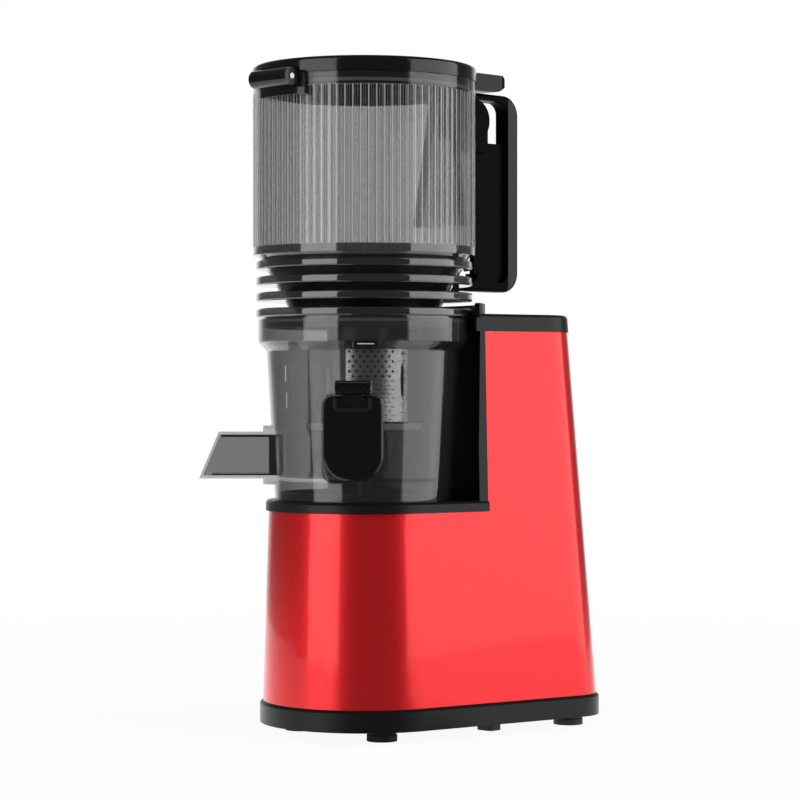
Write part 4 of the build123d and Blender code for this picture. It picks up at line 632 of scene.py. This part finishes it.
dress(
    plate_smoke.surface({
        "Base Color": (0.010, 0.010, 0.011, 1.0),
        "Roughness": 0.10,
        "Specular IOR Level": 0.5,
        "Alpha": plate_cover + edge_cover * plate_edge,
    }),
    "handle_plate",
)
dress(turned_steel, "handle_screws", "interlock_magnet")

# ---------------------------------------------------------------- button spring
# Steel wire wound in open turns behind the latch button, on the button's own axis.
# Its turns are far enough apart not to meet.
wire = 0.0003                         # half the wire's thickness
wire_sides = 8
spring_radius = 0.0060
spring_turns = 4
turn_steps = 28
seat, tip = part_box("button_spring")
seat, tip = Vector(seat), Vector(tip)
centre = (seat + tip) / 2
coil = bmesh.new()
sections = []
for number in range(spring_turns * turn_steps + 1):
    done = number / turn_steps
    around = 2 * math.pi * done
    along = seat.x + wire + done / spring_turns * (tip.x - seat.x - 2 * wire)
    section = []
    for corner in range(wire_sides):
        bend = 2 * math.pi * corner / wire_sides
        radius = spring_radius + wire * math.cos(bend)
        section.append(coil.verts.new((along + wire * math.sin(bend),
                                       centre.y + radius * math.cos(around),
                                       centre.z + radius * math.sin(around))))
    sections.append(section)
for earlier, later in zip(sections, sections[1:]):
    for corner in range(wire_sides):
        after = (corner + 1) % wire_sides
        coil.faces.new((earlier[corner], earlier[after], later[after], later[corner]))
coil.faces.new(sections[0])
coil.faces.new(sections[-1])
bmesh.ops.recalc_face_normals(coil, faces=coil.faces)
spring_coil = build("spring_coil", coil, turned_steel)
spring_coil.data.shade_smooth()
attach(spring_coil, "hopper")
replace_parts(spring_coil, "button_spring")
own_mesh(spring_coil)

# ---------------------------------------------------------------- lid
# Gloss black lid with a lifting tab over the handle, hinged on a steel pin at the front.
# The disc is polished brighter than the tab, which fingers keep matt.
disc_back = 0.0436                    # the tab begins behind this
disc_coat = 0.50
tab_loss = 0.40                       # of the disc's coat, on the tab
lid_black = Finish("lid_black")
lid_y = lid_black.node("ShaderNodeSeparateXYZ", {}, {"Vector": lid_black.place}, "Y")
lid_cloud = lid_black.noise(28.0)
dress(
    lid_black.surface({
        "Base Color": lid_black.mix(lid_cloud, (0.0034, 0.0034, 0.0037, 1.0),
                                    (0.0045, 0.0045, 0.0049, 1.0)),
        "Roughness": 0.12 + 0.06 * lid_cloud,
        "Specular IOR Level": 0.10,
        "Coat Weight": disc_coat - tab_loss * (lid_y > disc_back),
        "Coat Roughness": 0.07,
        "Normal": lid_black.bump(lid_black.noise(1200.0, 3.0), 0.000005),
    }),
    "lid", "lid_bracket",
)
dress(turned_steel, "lid_hinge_pin")
dress(silicone, "lid_gasket")

# ---------------------------------------------------------------- studio
# A round pale floor that keeps the shadow, white air behind the machine and dim air before it.
# Two tall soft lights stand left and right of the camera; gloss mirrors the floor dark in one sector.
floor_radius = 1.1
fade_from = 0.45                      # the floor turns white between these two
fade_to = 1.05
dark_way = (0.809, -0.588, 0.0)       # middle of the sector of floor that is dark when mirrored
camera_way = (-0.7071, 0.7071, 0.0)   # the way that the camera looks


def watched(finish):
    """Which rays see a surface: straight from the camera, in gloss, and through glass."""
    return [finish.node("ShaderNodeLightPath", {}, {}, kind)
            for kind in ("Is Camera Ray", "Is Glossy Ray", "Is Transmission Ray")]


def ease(finish, value, low, high):
    """0 below a range, 1 above it, and a smooth step between."""
    return finish.node("ShaderNodeMapRange", {"interpolation_type": "SMOOTHSTEP"},
                       {"Value": value, "From Min": low, "From Max": high})


def facing_way(finish, way, towards):
    """How nearly a direction is the given one: 1 along it, -1 against it."""
    return finish.node("ShaderNodeVectorMath", {"operation": "DOT_PRODUCT"}, {0: way, 1: towards},
                       "Value")


pale = Finish("studio_pale")
straight, mirrored, through = watched(pale)
reach = pale.node("ShaderNodeVectorMath", {"operation": "LENGTH"}, {0: pale.place}, "Value")
edge = ease(pale, reach, fade_from, fade_to)
glow = pale.mix(edge, (0.93, 0.93, 0.93, 1.0), (1.0, 1.0, 1.0, 1.0))
outward = pale.node("ShaderNodeVectorMath", {"operation": "NORMALIZE"}, {0: pale.place})
unlit = ease(pale, facing_way(pale, outward, dark_way), 0.70, 0.84)
lit = pale.mix(unlit, (1.4, 1.4, 1.4, 1.0), (0.15, 0.15, 0.15, 1.0))
unseen = pale.mix(mirrored, (0.35, 0.35, 0.35, 1.0), lit)
pale.surface({
    "Base Color": pale.mix(edge, (0.10, 0.10, 0.10, 1.0), (0.0, 0.0, 0.0, 1.0)),
    "Roughness": 0.9,
    "Specular IOR Level": 0.0,
    "Emission Color": pale.mix(straight + through, unseen, glow),
    "Emission Strength": 1.0,
})
floor_shape = bmesh.new()
bmesh.ops.create_circle(floor_shape, cap_ends=True, segments=96, radius=floor_radius)
build("studio_floor", floor_shape, pale.block)

air = Finish("studio_air", "worlds")
bpy.context.scene.world = air.block
straight, mirrored, through = watched(air)
way = air.node("ShaderNodeTexCoord", {}, {}, "Generated")
ahead = facing_way(air, way, camera_way)
behind = ease(air, ahead, 0.05, 0.45)
far_wall = ease(air, ahead, 0.78, 0.95)
shown = (straight + through + mirrored * far_wall).least(1.0)
strength = 0.15 + 0.26 * behind * (1 - mirrored)
air.node("ShaderNodeOutputWorld", {}, {"Surface": air.node("ShaderNodeBackground", {}, {
    "Color": (1.0, 1.0, 1.0, 1.0),
    "Strength": strength + shown * (1 - strength),
})})

light_distance = 1.7
light_height = 0.45
light_tall = 1.9
aim_height = 0.22                     # half way up the machine


def soft_light(name, azimuth, width, radiance):
    """A tall rectangular lamp that faces the machine; azimuth is counted from +X towards +Y."""
    lamp = bpy.data.lights.new(name, "AREA")
    lamp.shape = "RECTANGLE"
    lamp.size = width
    lamp.size_y = light_tall
    lamp.energy = radiance * math.pi * width * light_tall
    holder = bpy.data.objects.new(name, lamp)
    bpy.context.scene.collection.objects.link(holder)
    angle = math.radians(azimuth)
    holder.location = (light_distance * math.cos(angle), light_distance * math.sin(angle), light_height)
    aim = Vector((0.0, 0.0, aim_height)) - holder.location
    holder.rotation_mode = "QUATERNION"
    holder.rotation_quaternion = aim.to_track_quat("-Z", "Y")
    holder.visible_camera = False


soft_light("left_light", -92.0, 1.20, 3.0)
soft_light("right_light", 33.0, 2.0, 2.6)

camera_target = Vector((0.0168, -0.0142, 0.2213))
camera = bpy.data.objects.new("camera", bpy.data.cameras.new("camera"))
bpy.context.scene.collection.objects.link(camera)
camera.data.sensor_width = 36.0
camera.data.lens = 116.6
camera.location = (1.238, -1.2354, 0.230)
camera.rotation_mode = "QUATERNION"
camera.rotation_quaternion = (camera_target - camera.location).to_track_quat("-Z", "Y")
bpy.context.scene.camera = camera
bpy.context.scene.view_settings.view_transform = "Standard"
